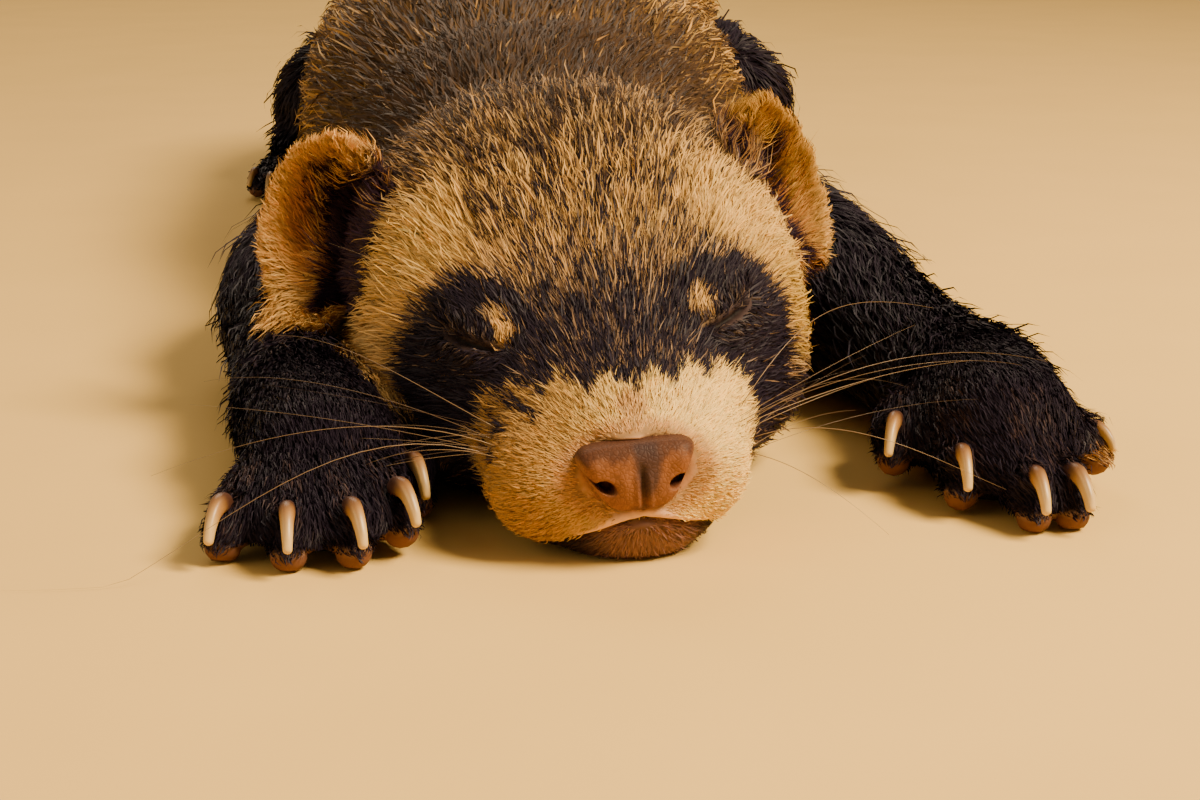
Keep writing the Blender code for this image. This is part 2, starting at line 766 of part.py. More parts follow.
def part_jaw(head):
    """Cut the lower jaw out of the head along the line of the mouth."""
    room, inner = mouth_block(GAP / 2 / MM), mouth_block(-GAP / 2 / MM)
    jaw = copy_of(head, "lower_jaw")
    keep_largest(boolean(jaw, inner, "INTERSECT"))
    keep_largest(boolean(head, room, "DIFFERENCE"))
    discard(room, inner)
    return jaw


def local_frame(side: int, centre: Vector, across: Vector, facing: Vector):
    """Return a head frame whose X runs across and whose Z faces out, mirrored to a side."""
    mirror = Vector((side, 1, 1))
    third = (facing * mirror).normalized()
    first = across * mirror
    first = (first - third * first.dot(third)).normalized()
    second = third.cross(first)
    turn = Matrix((first, second, third)).transposed().to_4x4()
    return HEAD_MATRIX @ Matrix.Translation(centre * mirror) @ turn


def make_nose_pad():
    """Model the nose pad with its two nostrils."""
    shape = bmesh.new()
    rings = []
    for distance, share in NOSE_RINGS:
        ring = []
        for index in range(NOSE_SIDES):
            angle = math.tau * index / NOSE_SIDES
            sideways = math.copysign(abs(math.cos(angle)) ** NOSE_SQUARENESS, math.cos(angle))
            upwards = math.copysign(abs(math.sin(angle)) ** NOSE_SQUARENESS, math.sin(angle))
            height = (NOSE_TOP + NOSE_LOW) / 2 + (NOSE_TOP - NOSE_LOW) / 2 * upwards
            width = NOSE_LOW_HALF + (NOSE_TOP_HALF - NOSE_LOW_HALF) * (upwards + 1) / 2
            place = Vector((-width * sideways * share, distance, height * share)) * MM
            ring.append(HEAD_MATRIX @ place)
        rings.append(ring)
    skin_rings(shape, rings)
    bmesh.ops.recalc_face_normals(shape, faces=shape.faces)
    pad = object_from("nose_pad", shape)
    for side in (-1, 1):
        hollow = bmesh.new()
        centre = Vector((NOSTRIL_CENTRE.x * side, NOSTRIL_CENTRE.y, NOSTRIL_CENTRE.z))
        turn = Matrix.Rotation(NOSTRIL_TILT * side, 4, "Y")
        place = HEAD_MATRIX @ Matrix.Translation(centre) @ turn @ Matrix.Diagonal(
            (*NOSTRIL_RADII, 1.0))
        bmesh.ops.create_icosphere(
            hollow, subdivisions=NOSTRIL_DETAIL, radius=1.0, matrix=place)
        nostril = object_from("nostril", hollow)
        boolean(pad, nostril, "DIFFERENCE")
        discard(nostril)
    return keep_largest(pad)


def eye_frame(side: int):
    """Return the eye's frame: X runs along the slit and Z faces out."""
    return local_frame(side, EYE_CENTRE, EYE_SLIT, EYE_FACING)


def eye_mound(side: int, name: str, grow: float = 0.0):
    """Model the plain mound of a closed eye, grown all round."""
    shape = bmesh.new()
    add_ball(shape, Vector(), EYE_RADII + Vector((grow, grow, grow)), eye_frame(side))
    return object_from(name, shape)


def make_eyelids(side: int, name: str):
    """Model a closed eye: two lids that meet in a slit."""
    lids = eye_mound(side, name)
    knots = []
    for share in SLIT_SHARES:
        along = EYE_RADII.x * SLIT_HALF * share
        sag = -SLIT_SAG * (1 - share * share) * side
        height = EYE_RADII.z * math.sqrt(max(
            1 - (along / EYE_RADII.x) ** 2 - (sag / EYE_RADII.y) ** 2, LEAST_HEIGHT))
        knots.append((Vector((along, sag, height)) / MM, SLIT_RADIUS / MM))
    groove = bmesh.new()
    add_limb(groove, knots, TOE_STEP, SLIT_SIDES, eye_frame(side))
    bmesh.ops.recalc_face_normals(groove, faces=groove.faces)
    slit = object_from("slit", groove)
    boolean(lids, slit, "DIFFERENCE")
    discard(slit)
    return keep_largest(lids)


def ear_depth(share: float):
    """Return how deep the middle of the ear's wall lies at a share of its half size."""
    return -EAR_CUP * (1 - share ** EAR_BOWL_POWER)


def make_ear(side: int, name: str):
    """Model an ear as a thick cup that opens forwards and outwards."""
    frame = local_frame(side, EAR_CENTRE[side], EAR_LEAN, EAR_FACING[side])
    wall = EAR_WALL / 2
    profile = [(share, ear_depth(share) + wall) for share in EAR_INNER_SHARES]
    profile += [(share, wall * height) for share, height in EAR_RIM]
    profile += [(share, ear_depth(share) - wall) for share in EAR_OUTER_SHARES]
    rings = []
    for share, depth in profile:
        ring = []
        for index in range(EAR_SIDES):
            angle = math.tau * index / EAR_SIDES
            ring.append(frame @ Vector((
                EAR_HALF_HEIGHT * share * math.cos(angle),
                EAR_HALF_WIDTH * share * math.sin(angle),
                depth,
            )))
        rings.append(ring)
    shape = bmesh.new()
    skin_rings(shape, rings)
    bmesh.ops.recalc_face_normals(shape, faces=shape.faces)
    return object_from(name, shape)


def make_claw(name: str, knuckle, tip, share: float):
    """Model one claw, curving down over the end of its toe."""
    toe_end = Vector(tip)
    forwards = toe_end - Vector(knuckle)
    forwards = Vector((forwards.x, forwards.y, 0)).normalized()
    knots = []
    for (along, up), radius in zip(CLAW_LINE, CLAW_RADII):
        point = toe_end + forwards * along * share + Vector((0, 0, up * share))
        knots.append((point, radius * share))
    shape = bmesh.new()
    add_limb(shape, knots, CLAW_STEP, CLAW_SIDES)
    bmesh.ops.recalc_face_normals(shape, faces=shape.faces)
    return object_from(name, shape)


def make_claws(label: str, side: str, toes, paw, share: float):
    """Model a paw's claws, each a gap clear of the paw."""
    room = grown(paw, GAP)
    claws = {}
    for number, (knuckle, tip) in enumerate(toes, 1):
        name = f"claw_{label}_{side}_{number}"
        claw = make_claw(name, knuckle, tip, share)
        claws[name] = keep_largest(boolean(claw, room, "DIFFERENCE"))
    discard(room)
    return claws


def dress(node, colour_name: str, colour, roughness: float):
    """Give a node its material."""
    node.data.shade_smooth()
    node.data.set_sharp_from_angle(angle=SHARP_ANGLE)
    node.data.materials.clear()
    node.data.materials.append(material(colour_name, colour, roughness))


def main():
    """Build every node."""
    for item in list(bpy.data.objects):
        bpy.data.objects.remove(item)
    trunk = model_trunk()
    room = grown(trunk, GAP)
    nodes, claws = {}, {}
    for side in ("right", "left"):
        leg = model_foreleg(side)
        nodes.update(part_foreleg(side, keep_largest(boolean(leg, room, "DIFFERENCE"))))
        leg, foot = model_hindleg(side)
        nodes["hindleg_" + side] = keep_largest(boolean(leg, room, "DIFFERENCE"))
        nodes["hindfoot_" + side] = keep_largest(boolean(foot, room, "DIFFERENCE"))
        claws.update(make_claws(
            "fore", side, FOREPAW[side]["toes"], nodes["forepaw_" + side], 1.0))
        claws.update(make_claws(
            "hind", side, HINDPAW[side]["toes"], nodes["hindfoot_" + side], HIND_CLAW_SHARE))
    discard(room)
    nodes.update(part_trunk(trunk))
    head = nodes["head"]
    nodes["lower_jaw"] = part_jaw(head)
    room = grown(head, GAP)
    for sign, side in ((-1, "right"), (1, "left")):
        ear = make_ear(sign, "ear_" + side)
        nodes["ear_" + side] = keep_largest(boolean(ear, room, "DIFFERENCE"))
        seat(nodes["foreleg_" + side], ear)
        socket = eye_mound(sign, "socket", GAP)
        keep_largest(boolean(head, socket, "DIFFERENCE"))
        discard(socket)
        dress(make_eyelids(sign, "eyelids_" + side), "sable_fur", SABLE, 0.8)
    discard(room)
    pad = make_nose_pad()
    seat(head, pad)
    dress(pad, "nose_skin", PINK, 0.45)
    for name, node in nodes.items():
        if "leg" in name or "paw" in name or "foot" in name or "tail" in name:
            dress(node, "sable_fur", SABLE, 0.8)
        elif "ear" in name or "jaw" in name:
            dress(node, "cream_fur", CREAM, 0.8)
        else:
            dress(node, "agouti_fur", AGOUTI, 0.8)
    for claw in claws.values():
        dress(claw, "claw_horn", HORN, 0.35)


main()
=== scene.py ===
"""A sleeping sable ferret, life size: its skin, coat, nose, lids, claws, pads and whiskers.

Lengths are in metres; MM turns millimetres into them. The nose points to -Y and +Z is up.
Right and left are the animal's own, so its left side is at +X. Head places are given in
millimetres in the head's own frame: X to its left, Y back from the nose and Z up.
"""

import json
import logging
import math
from dataclasses import dataclass, field
from enum import Enum
from typing import Callable

import bpy
import numpy as np
from mathutils import Matrix, Vector, noise
from mathutils.bvhtree import BVHTree
from mathutils.kdtree import KDTree

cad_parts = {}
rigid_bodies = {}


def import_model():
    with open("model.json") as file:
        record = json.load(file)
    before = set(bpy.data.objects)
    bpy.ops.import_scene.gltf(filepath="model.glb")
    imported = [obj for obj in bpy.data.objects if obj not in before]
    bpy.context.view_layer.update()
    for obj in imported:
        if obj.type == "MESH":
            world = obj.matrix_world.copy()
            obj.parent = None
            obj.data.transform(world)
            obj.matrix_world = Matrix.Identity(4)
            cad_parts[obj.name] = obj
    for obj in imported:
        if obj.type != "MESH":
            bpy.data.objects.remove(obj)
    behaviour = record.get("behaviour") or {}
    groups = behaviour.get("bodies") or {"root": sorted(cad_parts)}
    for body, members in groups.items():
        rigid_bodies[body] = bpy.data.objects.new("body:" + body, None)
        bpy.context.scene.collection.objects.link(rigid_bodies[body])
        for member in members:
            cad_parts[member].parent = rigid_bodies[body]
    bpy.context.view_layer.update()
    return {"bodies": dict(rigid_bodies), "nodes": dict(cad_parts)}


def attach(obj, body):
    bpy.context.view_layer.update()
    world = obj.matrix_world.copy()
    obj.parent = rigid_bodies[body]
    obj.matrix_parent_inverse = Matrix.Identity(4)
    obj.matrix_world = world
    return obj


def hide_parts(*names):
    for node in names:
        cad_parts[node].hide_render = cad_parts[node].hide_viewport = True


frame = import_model()

LOG = logging.getLogger("ferret")
MM = 0.001
BODY = "root" if "root" in frame["bodies"] else next(iter(frame["bodies"]))
SIDES = ((-1, "right"), (1, "left"))
Array = np.ndarray
Colour = tuple[float, float, float]


class Region(Enum):
    """The parts of the body whose coat differs."""

    HEAD = 0
    JAW = 1
    EAR = 2
    LIDS = 3
    NECK = 4
    TRUNK = 5
    RUMP = 6
    TAIL = 7
    FORELEG = 8
    FOREPAW = 9
    HINDLEG = 10
    HINDFOOT = 11


NODES_OF = {
    Region.HEAD: ("head",),
    Region.JAW: ("lower_jaw",),
    Region.EAR: ("ear_right", "ear_left"),
    Region.LIDS: ("eyelids_right", "eyelids_left"),
    Region.NECK: ("neck",),
    Region.TRUNK: ("chest", "loin"),
    Region.RUMP: ("rump",),
    Region.TAIL: ("tail_root", "tail_middle", "tail_tip"),
    Region.FORELEG: ("foreleg_right", "foreleg_left"),
    Region.FOREPAW: ("forepaw_right", "forepaw_left"),
    Region.HINDLEG: ("hindleg_right", "hindleg_left"),
    Region.HINDFOOT: ("hindfoot_right", "hindfoot_left"),
}


# A tuft that grows on the first of these and reaches onto the second is shortened
TRUNK_LIKE = (Region.HEAD.value, Region.NECK.value, Region.TRUNK.value, Region.RUMP.value)
LIMB_LIKE = (Region.EAR.value, Region.FORELEG.value, Region.FOREPAW.value, Region.HINDLEG.value,
             Region.HINDFOOT.value)


def ease(low: float, high: float, value: Array) -> Array:
    """Return a smooth step from 0 at low to 1 at high."""
    share = np.clip((value - low) / (high - low), 0.0, 1.0)
    return share * share * (3 - 2 * share)


def unit(vectors: Array) -> Array:
    """Return the vectors at length 1."""
    return vectors / np.maximum(np.linalg.norm(vectors, axis=-1, keepdims=True), 1e-9)


def mix(first: Array, second: Array, share: Array) -> Array:
    """Return the way from first to second, row by row."""
    share = np.asarray(share)[..., None]
    return first * (1 - share) + second * share


def ripple(places: Array, size: float) -> Array:
    """Return a smooth uneven pattern from about -1 to 1.

    Args:
        places: Rows of X, Y and Z.
        size: The rough size of its patches, in the places' own unit.
    """
    x, y, z = (places / size).T
    broad = np.sin(1.7 * x + 0.6 * y + 2.1) * np.cos(1.3 * z - 0.7 * y + 0.4)
    fine = np.sin(3.9 * x - 1.1 * z + 0.4) * np.cos(2.9 * y + 1.2 * x)
    return broad + 0.6 * fine


def deselect() -> None:
    """Deselect every object."""
    bpy.ops.object.select_all(action="DESELECT")


def make_active(piece: bpy.types.Object) -> None:
    """Select only this object and make it the active one."""
    deselect()
    piece.select_set(True)
    bpy.context.view_layer.objects.active = piece


def add_modifier(piece: bpy.types.Object, kind: str, **settings: object) -> None:
    """Add a modifier, give it its settings and apply it.

    Args:
        piece: The object to change.
        kind: The modifier's type.
        settings: The values to set on it.
    """
    make_active(piece)
    modifier = piece.modifiers.new(kind.title(), kind)
    for name, value in settings.items():
        setattr(modifier, name, value)
    bpy.ops.object.modifier_apply(modifier=modifier.name)


def copy_nodes(name: str, nodes: tuple[str, ...]) -> bpy.types.Object:
    """Join copies of CAD nodes into one new object with its doubles merged.

    Args:
        name: The new object's name.
        nodes: The nodes to copy.

    Returns:
        The joined copy.
    """
    copies = []
    for node in nodes:
        made = bpy.data.objects.new(name, frame["nodes"][node].data.copy())
        bpy.context.scene.collection.objects.link(made)
        copies.append(made)
    deselect()
    for made in copies:
        made.select_set(True)
    bpy.context.view_layer.objects.active = copies[0]
    if len(copies) > 1:
        bpy.ops.object.join()
    joined = copies[0]
    joined.name = name
    joined.data.materials.clear()
    make_active(joined)
    bpy.ops.object.mode_set(mode="EDIT")
    bpy.ops.mesh.select_all(action="SELECT")
    bpy.ops.mesh.remove_doubles(threshold=0.01 * MM)
    bpy.ops.object.mode_set(mode="OBJECT")
    return joined


def points_of(mesh: bpy.types.Mesh) -> Array:
    """Return a mesh's points."""
    points = np.empty(len(mesh.vertices) * 3)
    mesh.vertices.foreach_get("co", points)
    return points.reshape(-1, 3)


def normals_of(mesh: bpy.types.Mesh) -> Array:
    """Return a mesh's point normals."""
    normals = np.empty(len(mesh.vertices) * 3)
    mesh.vertices.foreach_get("normal", normals)
    return normals.reshape(-1, 3)


def set_points(mesh: bpy.types.Mesh, points: Array) -> None:
    """Move a mesh's points."""
    mesh.vertices.foreach_set("co", np.ascontiguousarray(points, np.float32).ravel())
    mesh.update()


def paint(mesh: bpy.types.Mesh, colours: Array, name: str = "tint") -> None:
    """Store one colour a point.

    Args:
        mesh: The mesh to paint.
        colours: Linear colours, one row a point.
        name: The attribute's name.
    """
    rows = np.ones((len(mesh.vertices), 4), np.float32)
    rows[:, :3] = np.clip(colours, 0.0, 1.0)
    layer = mesh.color_attributes.get(name) or mesh.color_attributes.new(name, "FLOAT_COLOR", "POINT")
    layer.data.foreach_set("color", rows.ravel())


@dataclass(frozen=True)
class HeadFrame:
    """Where the head lies: its nose's place, and its turn and tilt."""

    nose: tuple[float, float, float] = (20.0 * MM, -205.0 * MM, 10.5 * MM)
    yaw: float = math.radians(7.3)
    roll: float = math.radians(-4.9)

    @property
    def matrix(self) -> Matrix:
        """The head's frame in the part's frame."""
        turn = Matrix.Rotation(self.yaw, 4, "Z") @ Matrix.Rotation(self.roll, 4, "Y")
        return Matrix.Translation(self.nose) @ turn

    def inside(self, points: Array) -> Array:
        """Return points of the part's frame as millimetres in the head's frame."""
        matrix = np.array(self.matrix.inverted())
        return (points @ matrix[:3, :3].T + matrix[:3, 3]) / MM

    def outside(self, points: Array) -> Array:
        """Return millimetres in the head's frame as points of the part's frame."""
        matrix = np.array(self.matrix)
        return (points * MM) @ matrix[:3, :3].T + matrix[:3, 3]

    def turned(self, directions: Array) -> Array:
        """Return directions of the head's frame in the part's frame."""
        return directions @ np.array(self.matrix)[:3, :3].T


@dataclass(frozen=True)
class Ear:
    """One ear's cup in the head's frame: its middle, the way it opens and leans, and its size."""

    side: int
    centre: tuple[float, float, float]
    facing: tuple[float, float, float]
    lean: tuple[float, float, float] = (-0.05, 0.25, 0.95)
    half_width: float = 10.4
    half_height: float = 11.4
    shadow_reach: float = 1.42
    # The rim's colour with painted light: the left ear's rim is painted darker and warmer than the right ear's
    rim_tint_and_shade: Colour = (0.90, 0.76, 0.78)

    def axes(self) -> Array:
        """Return the ear's upward, inward and facing directions, as rows."""
        mirror = np.array((self.side, 1.0, 1.0))
        facing = unit(np.array(self.facing) * mirror)
        lean = np.array(self.lean) * mirror
        upward = unit(lean - facing * (lean @ facing))
        return np.array((upward, np.cross(facing, upward) * self.side, facing))

    def inside(self, local: Array) -> Array:
        """Return head places in the ear's frame.

        Args:
            local: Places in the head's frame.

        Returns:
            Rows of up and inward, as shares of the ear's half sizes, and depth in millimetres.
        """
        rows = (local - np.array(self.centre) * (self.side, 1.0, 1.0)) @ self.axes().T
        return rows / np.array((self.half_height, self.half_width, 1.0))

    def shadow(self, local: Array) -> Array:
        """Return how far places of the head lie in the dark hollow before the ear."""
        up, inward, depth = self.inside(local).T
        edge = inward + np.maximum(up, 0.0)
        hollow = ease(-0.45, -0.15, inward) * (1 - ease(self.shadow_reach - 0.14, self.shadow_reach + 0.14, edge))
        return hollow * (1 - ease(0.28, 0.50, up)) * ease(-1.15, -0.95, up) * ease(-9.5, -8.0, depth)


@dataclass(frozen=True)
class Eye:
    """One closed eye in the head's frame: its middle, its slit, the way it faces and its size."""

    side: int
    centre: tuple[float, float, float] = (12.7, 22.2, 9.3)
    slit: tuple[float, float, float] = (5.4, 4.9, 2.2)
    facing: tuple[float, float, float] = (0.42, -0.50, 0.76)
    half_length: float = 5.0
    half_height: float = 3.4
    sag: float = 0.9

    def axes(self) -> Array:
        """Return the eye's slit, upward and facing directions, as rows."""
        mirror = np.array((self.side, 1.0, 1.0))
        facing = unit(np.array(self.facing) * mirror)
        slit = np.array(self.slit) * mirror
        slit = unit(slit - facing * (slit @ facing))
        return np.array((slit, np.cross(facing, slit) * self.side, facing))

    def inside(self, local: Array) -> Array:
        """Return head places as millimetres along the slit, above it and out of the eye."""
        rows = (local - np.array(self.centre) * (self.side, 1.0, 1.0)) @ self.axes().T
        bow = np.clip(1 - (rows[:, 0] / self.half_length) ** 2, 0.0, 1.0)
        rows[:, 1] += self.sag * bow
        return rows


@dataclass(frozen=True)
class Toe:
    """One toe: its name, the middle of its tip, the way it points and its size."""

    name: str
    tip: Array
    way: Array
    share: float

    @classmethod
    def from_claw(cls, limb: str, side: str, number: int) -> "Toe":
        """Find a toe from its claw's solid.

        Args:
            limb: fore or hind.
            side: right or left.
            number: The toe, counted from the inner one.

        Returns:
            The toe.
        """
        share = 1.0 if limb == "fore" else 0.85
        points = points_of(frame["nodes"][f"claw_{limb}_{side}_{number}"].data)
        flat = points[:, :2] - points[:, :2].mean(axis=0)
        way = np.linalg.eigh(flat.T @ flat)[1][:, -1]
        if (flat @ way) @ (points[:, 2] - points[:, 2].mean()) > 0:
            way = -way
        front = points[np.argmax(flat @ way)]
        tip = np.array((*(front[:2] - way * 5.4 * share * MM), points[:, 2].max() - 5.75 * share * MM))
        return cls(f"{limb}_{side}_{number}", tip, np.array((*way, 0.0)), share)

    @property
    def pad(self) -> Array:
        """The middle of the toe's pad."""
        return self.tip + (self.way * 1.1 + np.array((0.0, 0.0, -1.3))) * self.share * MM


HEAD = HeadFrame()
EARS = (
    Ear(-1, (29.6, 56.0, 19.0), (0.64, -0.70, 0.30)),
    # This ear's rim is painted darker than the other's: painted shade
    Ear(1, (28.6, 56.0, 18.2), (0.79, -0.54, 0.29), shadow_reach=0.72, rim_tint_and_shade=(0.58, 0.46, 0.30)),
)
EYES = (Eye(-1), Eye(1))
TOES = tuple(Toe.from_claw(limb, side, number)
             for limb in ("fore", "hind") for _, side in SIDES for number in range(1, 6))

# Coat and skin colours, in linear light
CREAM = np.array((0.86, 0.60, 0.19))
GOLD = np.array((0.58, 0.34, 0.105))
TAN = np.array((0.335, 0.200, 0.085))
BROWN = np.array((0.050, 0.026, 0.014))
SABLE = np.array((0.0125, 0.0085, 0.0175))
BARE_PINK = np.array((0.72, 0.44, 0.28))
BARE_TAN = np.array((0.44, 0.22, 0.10))
BARE_BROWN = np.array((0.13, 0.060, 0.045))
BARE_DARK = np.array((0.022, 0.010, 0.010))


@dataclass(frozen=True)
class Markings:
    """The sable pattern: dark mask, cream muzzle and brow, grizzled crown, black legs and tail."""

    muzzle_front: float = 6.6
    muzzle_bow: float = 0.053
    muzzle_bend: float = 11.0
    muzzle_slope: float = 0.75
    muzzle_back: float = 17.0
    mask_back: float = 21.5
    eye_patch: tuple[float, float, float] = (13.4, 22.4, 6.4)
    eye_stretch: tuple[float, float, float] = (1.0, 1.15, 1.10)
    eye_reach: float = 8.7
    band_width: float = 12.0
    spot: tuple[float, float, float] = (10.9, 19.1, 12.0)
    spot_size: tuple[float, float, float] = (1.65, 2.5, 2.1)
    smudge: tuple[float, float, float] = (0.4, 3.6, 5.6)

    def border(self, across: Array) -> Array:
        """Return how far back the cream of the muzzle reaches at a distance aside."""
        near = self.muzzle_front + self.muzzle_bow * across**2
        edge = self.muzzle_front + self.muzzle_bow * self.muzzle_bend**2
        far = edge + self.muzzle_slope * (across - self.muzzle_bend)
        return np.minimum(np.where(across < self.muzzle_bend, near, far), self.muzzle_back)

    def head(self, local: Array) -> tuple[Array, Array]:
        """Return the head's pale colour and darkness at places in its frame.

        Args:
            local: Places in the head's frame.

        Returns:
            The colour of the pale hairs, and the share of dark, both row by row.
        """
        across, back, up = np.abs(local[:, 0]), local[:, 1], local[:, 2]
        folded = np.stack((across, back, up), axis=1)
        uneven = ripple(local * (1.0, 0.35, 0.6), 1.1)
        from_eye = np.linalg.norm((folded - self.eye_patch) / self.eye_stretch, axis=1)
        behind_muzzle = ease(-0.9, 0.9, back - self.border(across) + 1.25 * uneven)
        bridge = 1 - ease(self.mask_back - 4.0, self.mask_back + 9.0, back + 2.2 * uneven)
        bridge = bridge * (1 - ease(11.0, 16.0, across))
        patch = 1 - ease(self.eye_reach - 1.6, self.eye_reach + 1.4, from_eye + 0.7 * uneven)
        low_cheek = (1 - ease(0.4, 4.6, up)) * (1 - ease(36.0, 46.0, back))
        mask = np.maximum(np.maximum(bridge, patch), low_cheek)
        band = ease(self.eye_reach, self.eye_reach + 2.0, from_eye)
        band = band * (1 - ease(self.band_width - 4.0, self.band_width + 7.0, from_eye - self.eye_reach))
        band = band * ease(9.0, 15.0, across) * ease(0.0, 4.0, up)
        crown = ease(31.0, 66.0, back)
        grizzle = 0.515 + 0.145 * crown + 0.06 * (1 - ease(0.0, 9.0, across))
        grizzle = grizzle + 0.06 * ripple(local * (1.0, 0.25, 0.5), 1.6)
        dark = mix1(grizzle, 0.10, band)
        dark = np.maximum(dark, mask * (0.76 + 0.20 * patch)) * behind_muzzle
        pale = mix(np.broadcast_to(GOLD, folded.shape), CREAM * (0.74, 0.67, 0.62), np.clip(band, 0, 1))
        # Painted light and shade: the lower cheek band is painted lighter and bluer on the head's right side and darker
        # and warmer on its left side, where the key light falls
        lower_band_painted_light = band * (1 - ease(9.0, 16.0, up))
        lit = ease(-8.0, 8.0, local[:, 0])
        pale = mix(pale, pale * (1.10, 1.10, 1.35), lower_band_painted_light * (1 - lit))
        pale = mix(pale, pale * (0.80, 0.78, 0.58), lower_band_painted_light * lit)
        pale = mix(pale, TAN, crown * (1 - band))
        pale = mix(pale, np.array((0.34, 0.215, 0.120)), mask * behind_muzzle)
        pale = mix(pale, CREAM, 1 - behind_muzzle)
        # Painted shade: the muzzle's cream is painted darker and warmer on the head's right side, away from the key
        # light
        shaded_muzzle_side = ease(5.0, -11.0, local[:, 0]) * (1 - behind_muzzle)
        pale = mix(pale, pale * (0.50, 0.395, 0.36), shaded_muzzle_side)
        for eye in EYES:
            rows = eye.inside(local)
            lid = np.exp(-((rows[:, 1] / 2.0) ** 2)) * (1 - ease(4.6, 6.4, np.abs(rows[:, 0])))
            lid = lid * (np.abs(rows[:, 2]) < 4.5)
            pale = mix(pale, np.array((0.20, 0.140, 0.100)), lid)
            dark = mix1(dark, 0.74, 0.85 * lid)
        spot = np.linalg.norm((folded - self.spot) / self.spot_size, axis=1)
        in_spot = 1 - ease(0.65, 1.3, spot + 0.2 * uneven)
        pale = mix(pale, np.broadcast_to(CREAM * (0.74, 0.62, 0.60), pale.shape), in_spot)
        dark = dark * (1 - (0.60 - 0.16 * uneven) * in_spot)
        smudge = np.linalg.norm((local - np.array(self.smudge)) / (1.6, 2.2, 1.6), axis=1)
        in_smudge = 1 - ease(0.6, 1.2, smudge)
        pale = mix(pale, BARE_TAN, 0.7 * in_smudge)
        stripes = ease(0.15, 0.75, ripple(local * (0.42, 0.42, 1.0), 0.62))
        flecks = ease(5.6, 9.0, across) * (1 - behind_muzzle) * ease(4.5, 7.0, back) * ease(-1.0, 1.6, up)
        flecks = flecks * mix1(0.35, 1.0, local[:, 0] < 0)
        dark = np.maximum(dark, (0.20 + 0.58 * stripes) * flecks)
        around_nose = 1 - ease(0.95, 1.25, np.linalg.norm(local / (7.2, 5.4, 4.6), axis=1))
        pale = mix(pale, BARE_TAN * 1.15, 0.75 * around_nose)
        return pale, dark

    def at(self, points: Array, regions: Array, normals: Array) -> tuple[Array, Array, Array]:
        """Return the coat's pale colour, dark colour and darkness at places of the body.

        Args:
            points: Places in the part's frame.
            regions: Each place's Region value.
            normals: The skin's normals there.

        Returns:
            Pale colours, dark colours and shares of dark, row by row.
        """
        local = HEAD.inside(points)
        pale, dark = self.head(local)
        deep = np.broadcast_to(SABLE, pale.shape).copy()
        deep = mix(deep, BROWN * 0.7, ease(26.0, 52.0, local[:, 1]) * (regions == Region.HEAD.value))
        jaw = regions == Region.JAW.value
        # Painted shade: the jaw's fur is painted near black at the sides and dull brown at the chin, partly its own
        # dark fur and partly the shade under the resting head
        chin = (1 - ease(2.0, 6.4, np.abs(local[:, 0] - 0.8))) * (1 - ease(3.0, 12.0, local[:, 1]))
        pale[jaw] = mix(np.array((0.030, 0.017, 0.014)), np.array((0.235, 0.125, 0.105)), chin)[jaw]
        self.trunk(points, regions, pale, deep, dark)
        limbs = np.isin(regions, [r.value for r in (
            Region.TAIL, Region.FORELEG, Region.FOREPAW, Region.HINDLEG, Region.HINDFOOT)])
        pale[limbs] = BROWN * (0.85, 1.10, 2.0)
        dark[limbs] = 0.93
        self.toes(points, regions, pale, dark)
        for ear in EARS:
            beside = local[:, 0] * ear.side > 0
            before = ear.shadow(local) * (regions == Region.HEAD.value) * beside
            dark = mix1(dark, 0.97, before)
            deep = mix(deep, SABLE * (1.9, 1.2, 1.3), before)
            self.ear(ear, local, normals, (regions == Region.EAR.value) & beside, pale, deep, dark)
        return pale, deep, np.clip(dark, 0, 1)

    def trunk(self, points: Array, regions: Array, pale: Array, deep: Array, dark: Array) -> None:
        """Set the colours of the neck, trunk and rump.

        Args:
            points: Places in the part's frame.
            regions: Each place's Region value.
            pale: The pale colours, which it changes.
            deep: The dark colours, which it changes.
            dark: The shares of dark, which it changes.
        """
        chosen = np.isin(regions, (Region.NECK.value, Region.TRUNK.value, Region.RUMP.value))
        back = (points[:, 1] - HEAD.nose[1]) / MM
        neck = 1 - ease(70.0, 130.0, back)
        shoulder = 1 - ease(110.0, 190.0, back)
        hip = ease(300.0, 365.0, back)
        low = 1 - ease(6.0, 26.0, points[:, 2] / MM)
        spine = 1 - ease(6.0, 30.0, np.abs(points[:, 0] / MM))
        body_dark = 0.56 + 0.24 * shoulder + 0.36 * hip + 0.09 * spine - 0.14 * low * (1 - shoulder)
        coat = mix(GOLD * 0.9, CREAM * 0.72, low)
        pale[chosen] = mix(coat, TAN, 0.8 * neck)[chosen]
        dark[chosen] = np.clip(body_dark, 0, 1)[chosen]
        deep[chosen] = BROWN * 0.62

    def toes(self, points: Array, regions: Array, pale: Array, dark: Array) -> None:
        """Set the colours of the toes: brown along the top as a painted highlight, black between, gold at the outer
        one.

        Args:
            points: Places in the part's frame.
            regions: Each place's Region value.
            pale: The pale colours, which it changes.
            dark: The shares of dark, which it changes.
        """
        paws = np.isin(regions, (Region.FOREPAW.value, Region.HINDFOOT.value))
        for toe in TOES:
            away = (points - toe.tip) / MM
            along = away @ toe.way
            off = np.linalg.norm(away[:, :2] - along[:, None] * toe.way[:2], axis=1)
            # Painted highlight: a lighter brown streak along the top of each toe
            top = (1 - ease(0.9, 2.2, off)) * ease(-13.0, -7.0, along) * (along < 4.0) * ease(-1.0, 1.5, away[:, 2])
            pale[:] = mix(pale, pale * (1.3, 1.15, 1.2), top * paws)
            dark[:] = mix1(dark, 0.66, top * paws)
            if toe.name == "fore_left_5":
                near = 1 - ease(2.4, 4.2, np.linalg.norm(away - toe.way * 0.8, axis=1))
                near = near * ease(2.6, 0.6, away[:, 2]) * paws
                pale[:] = mix(pale, GOLD * (0.85, 0.75, 0.75), near)
                dark[:] = mix1(dark, 0.34, near)

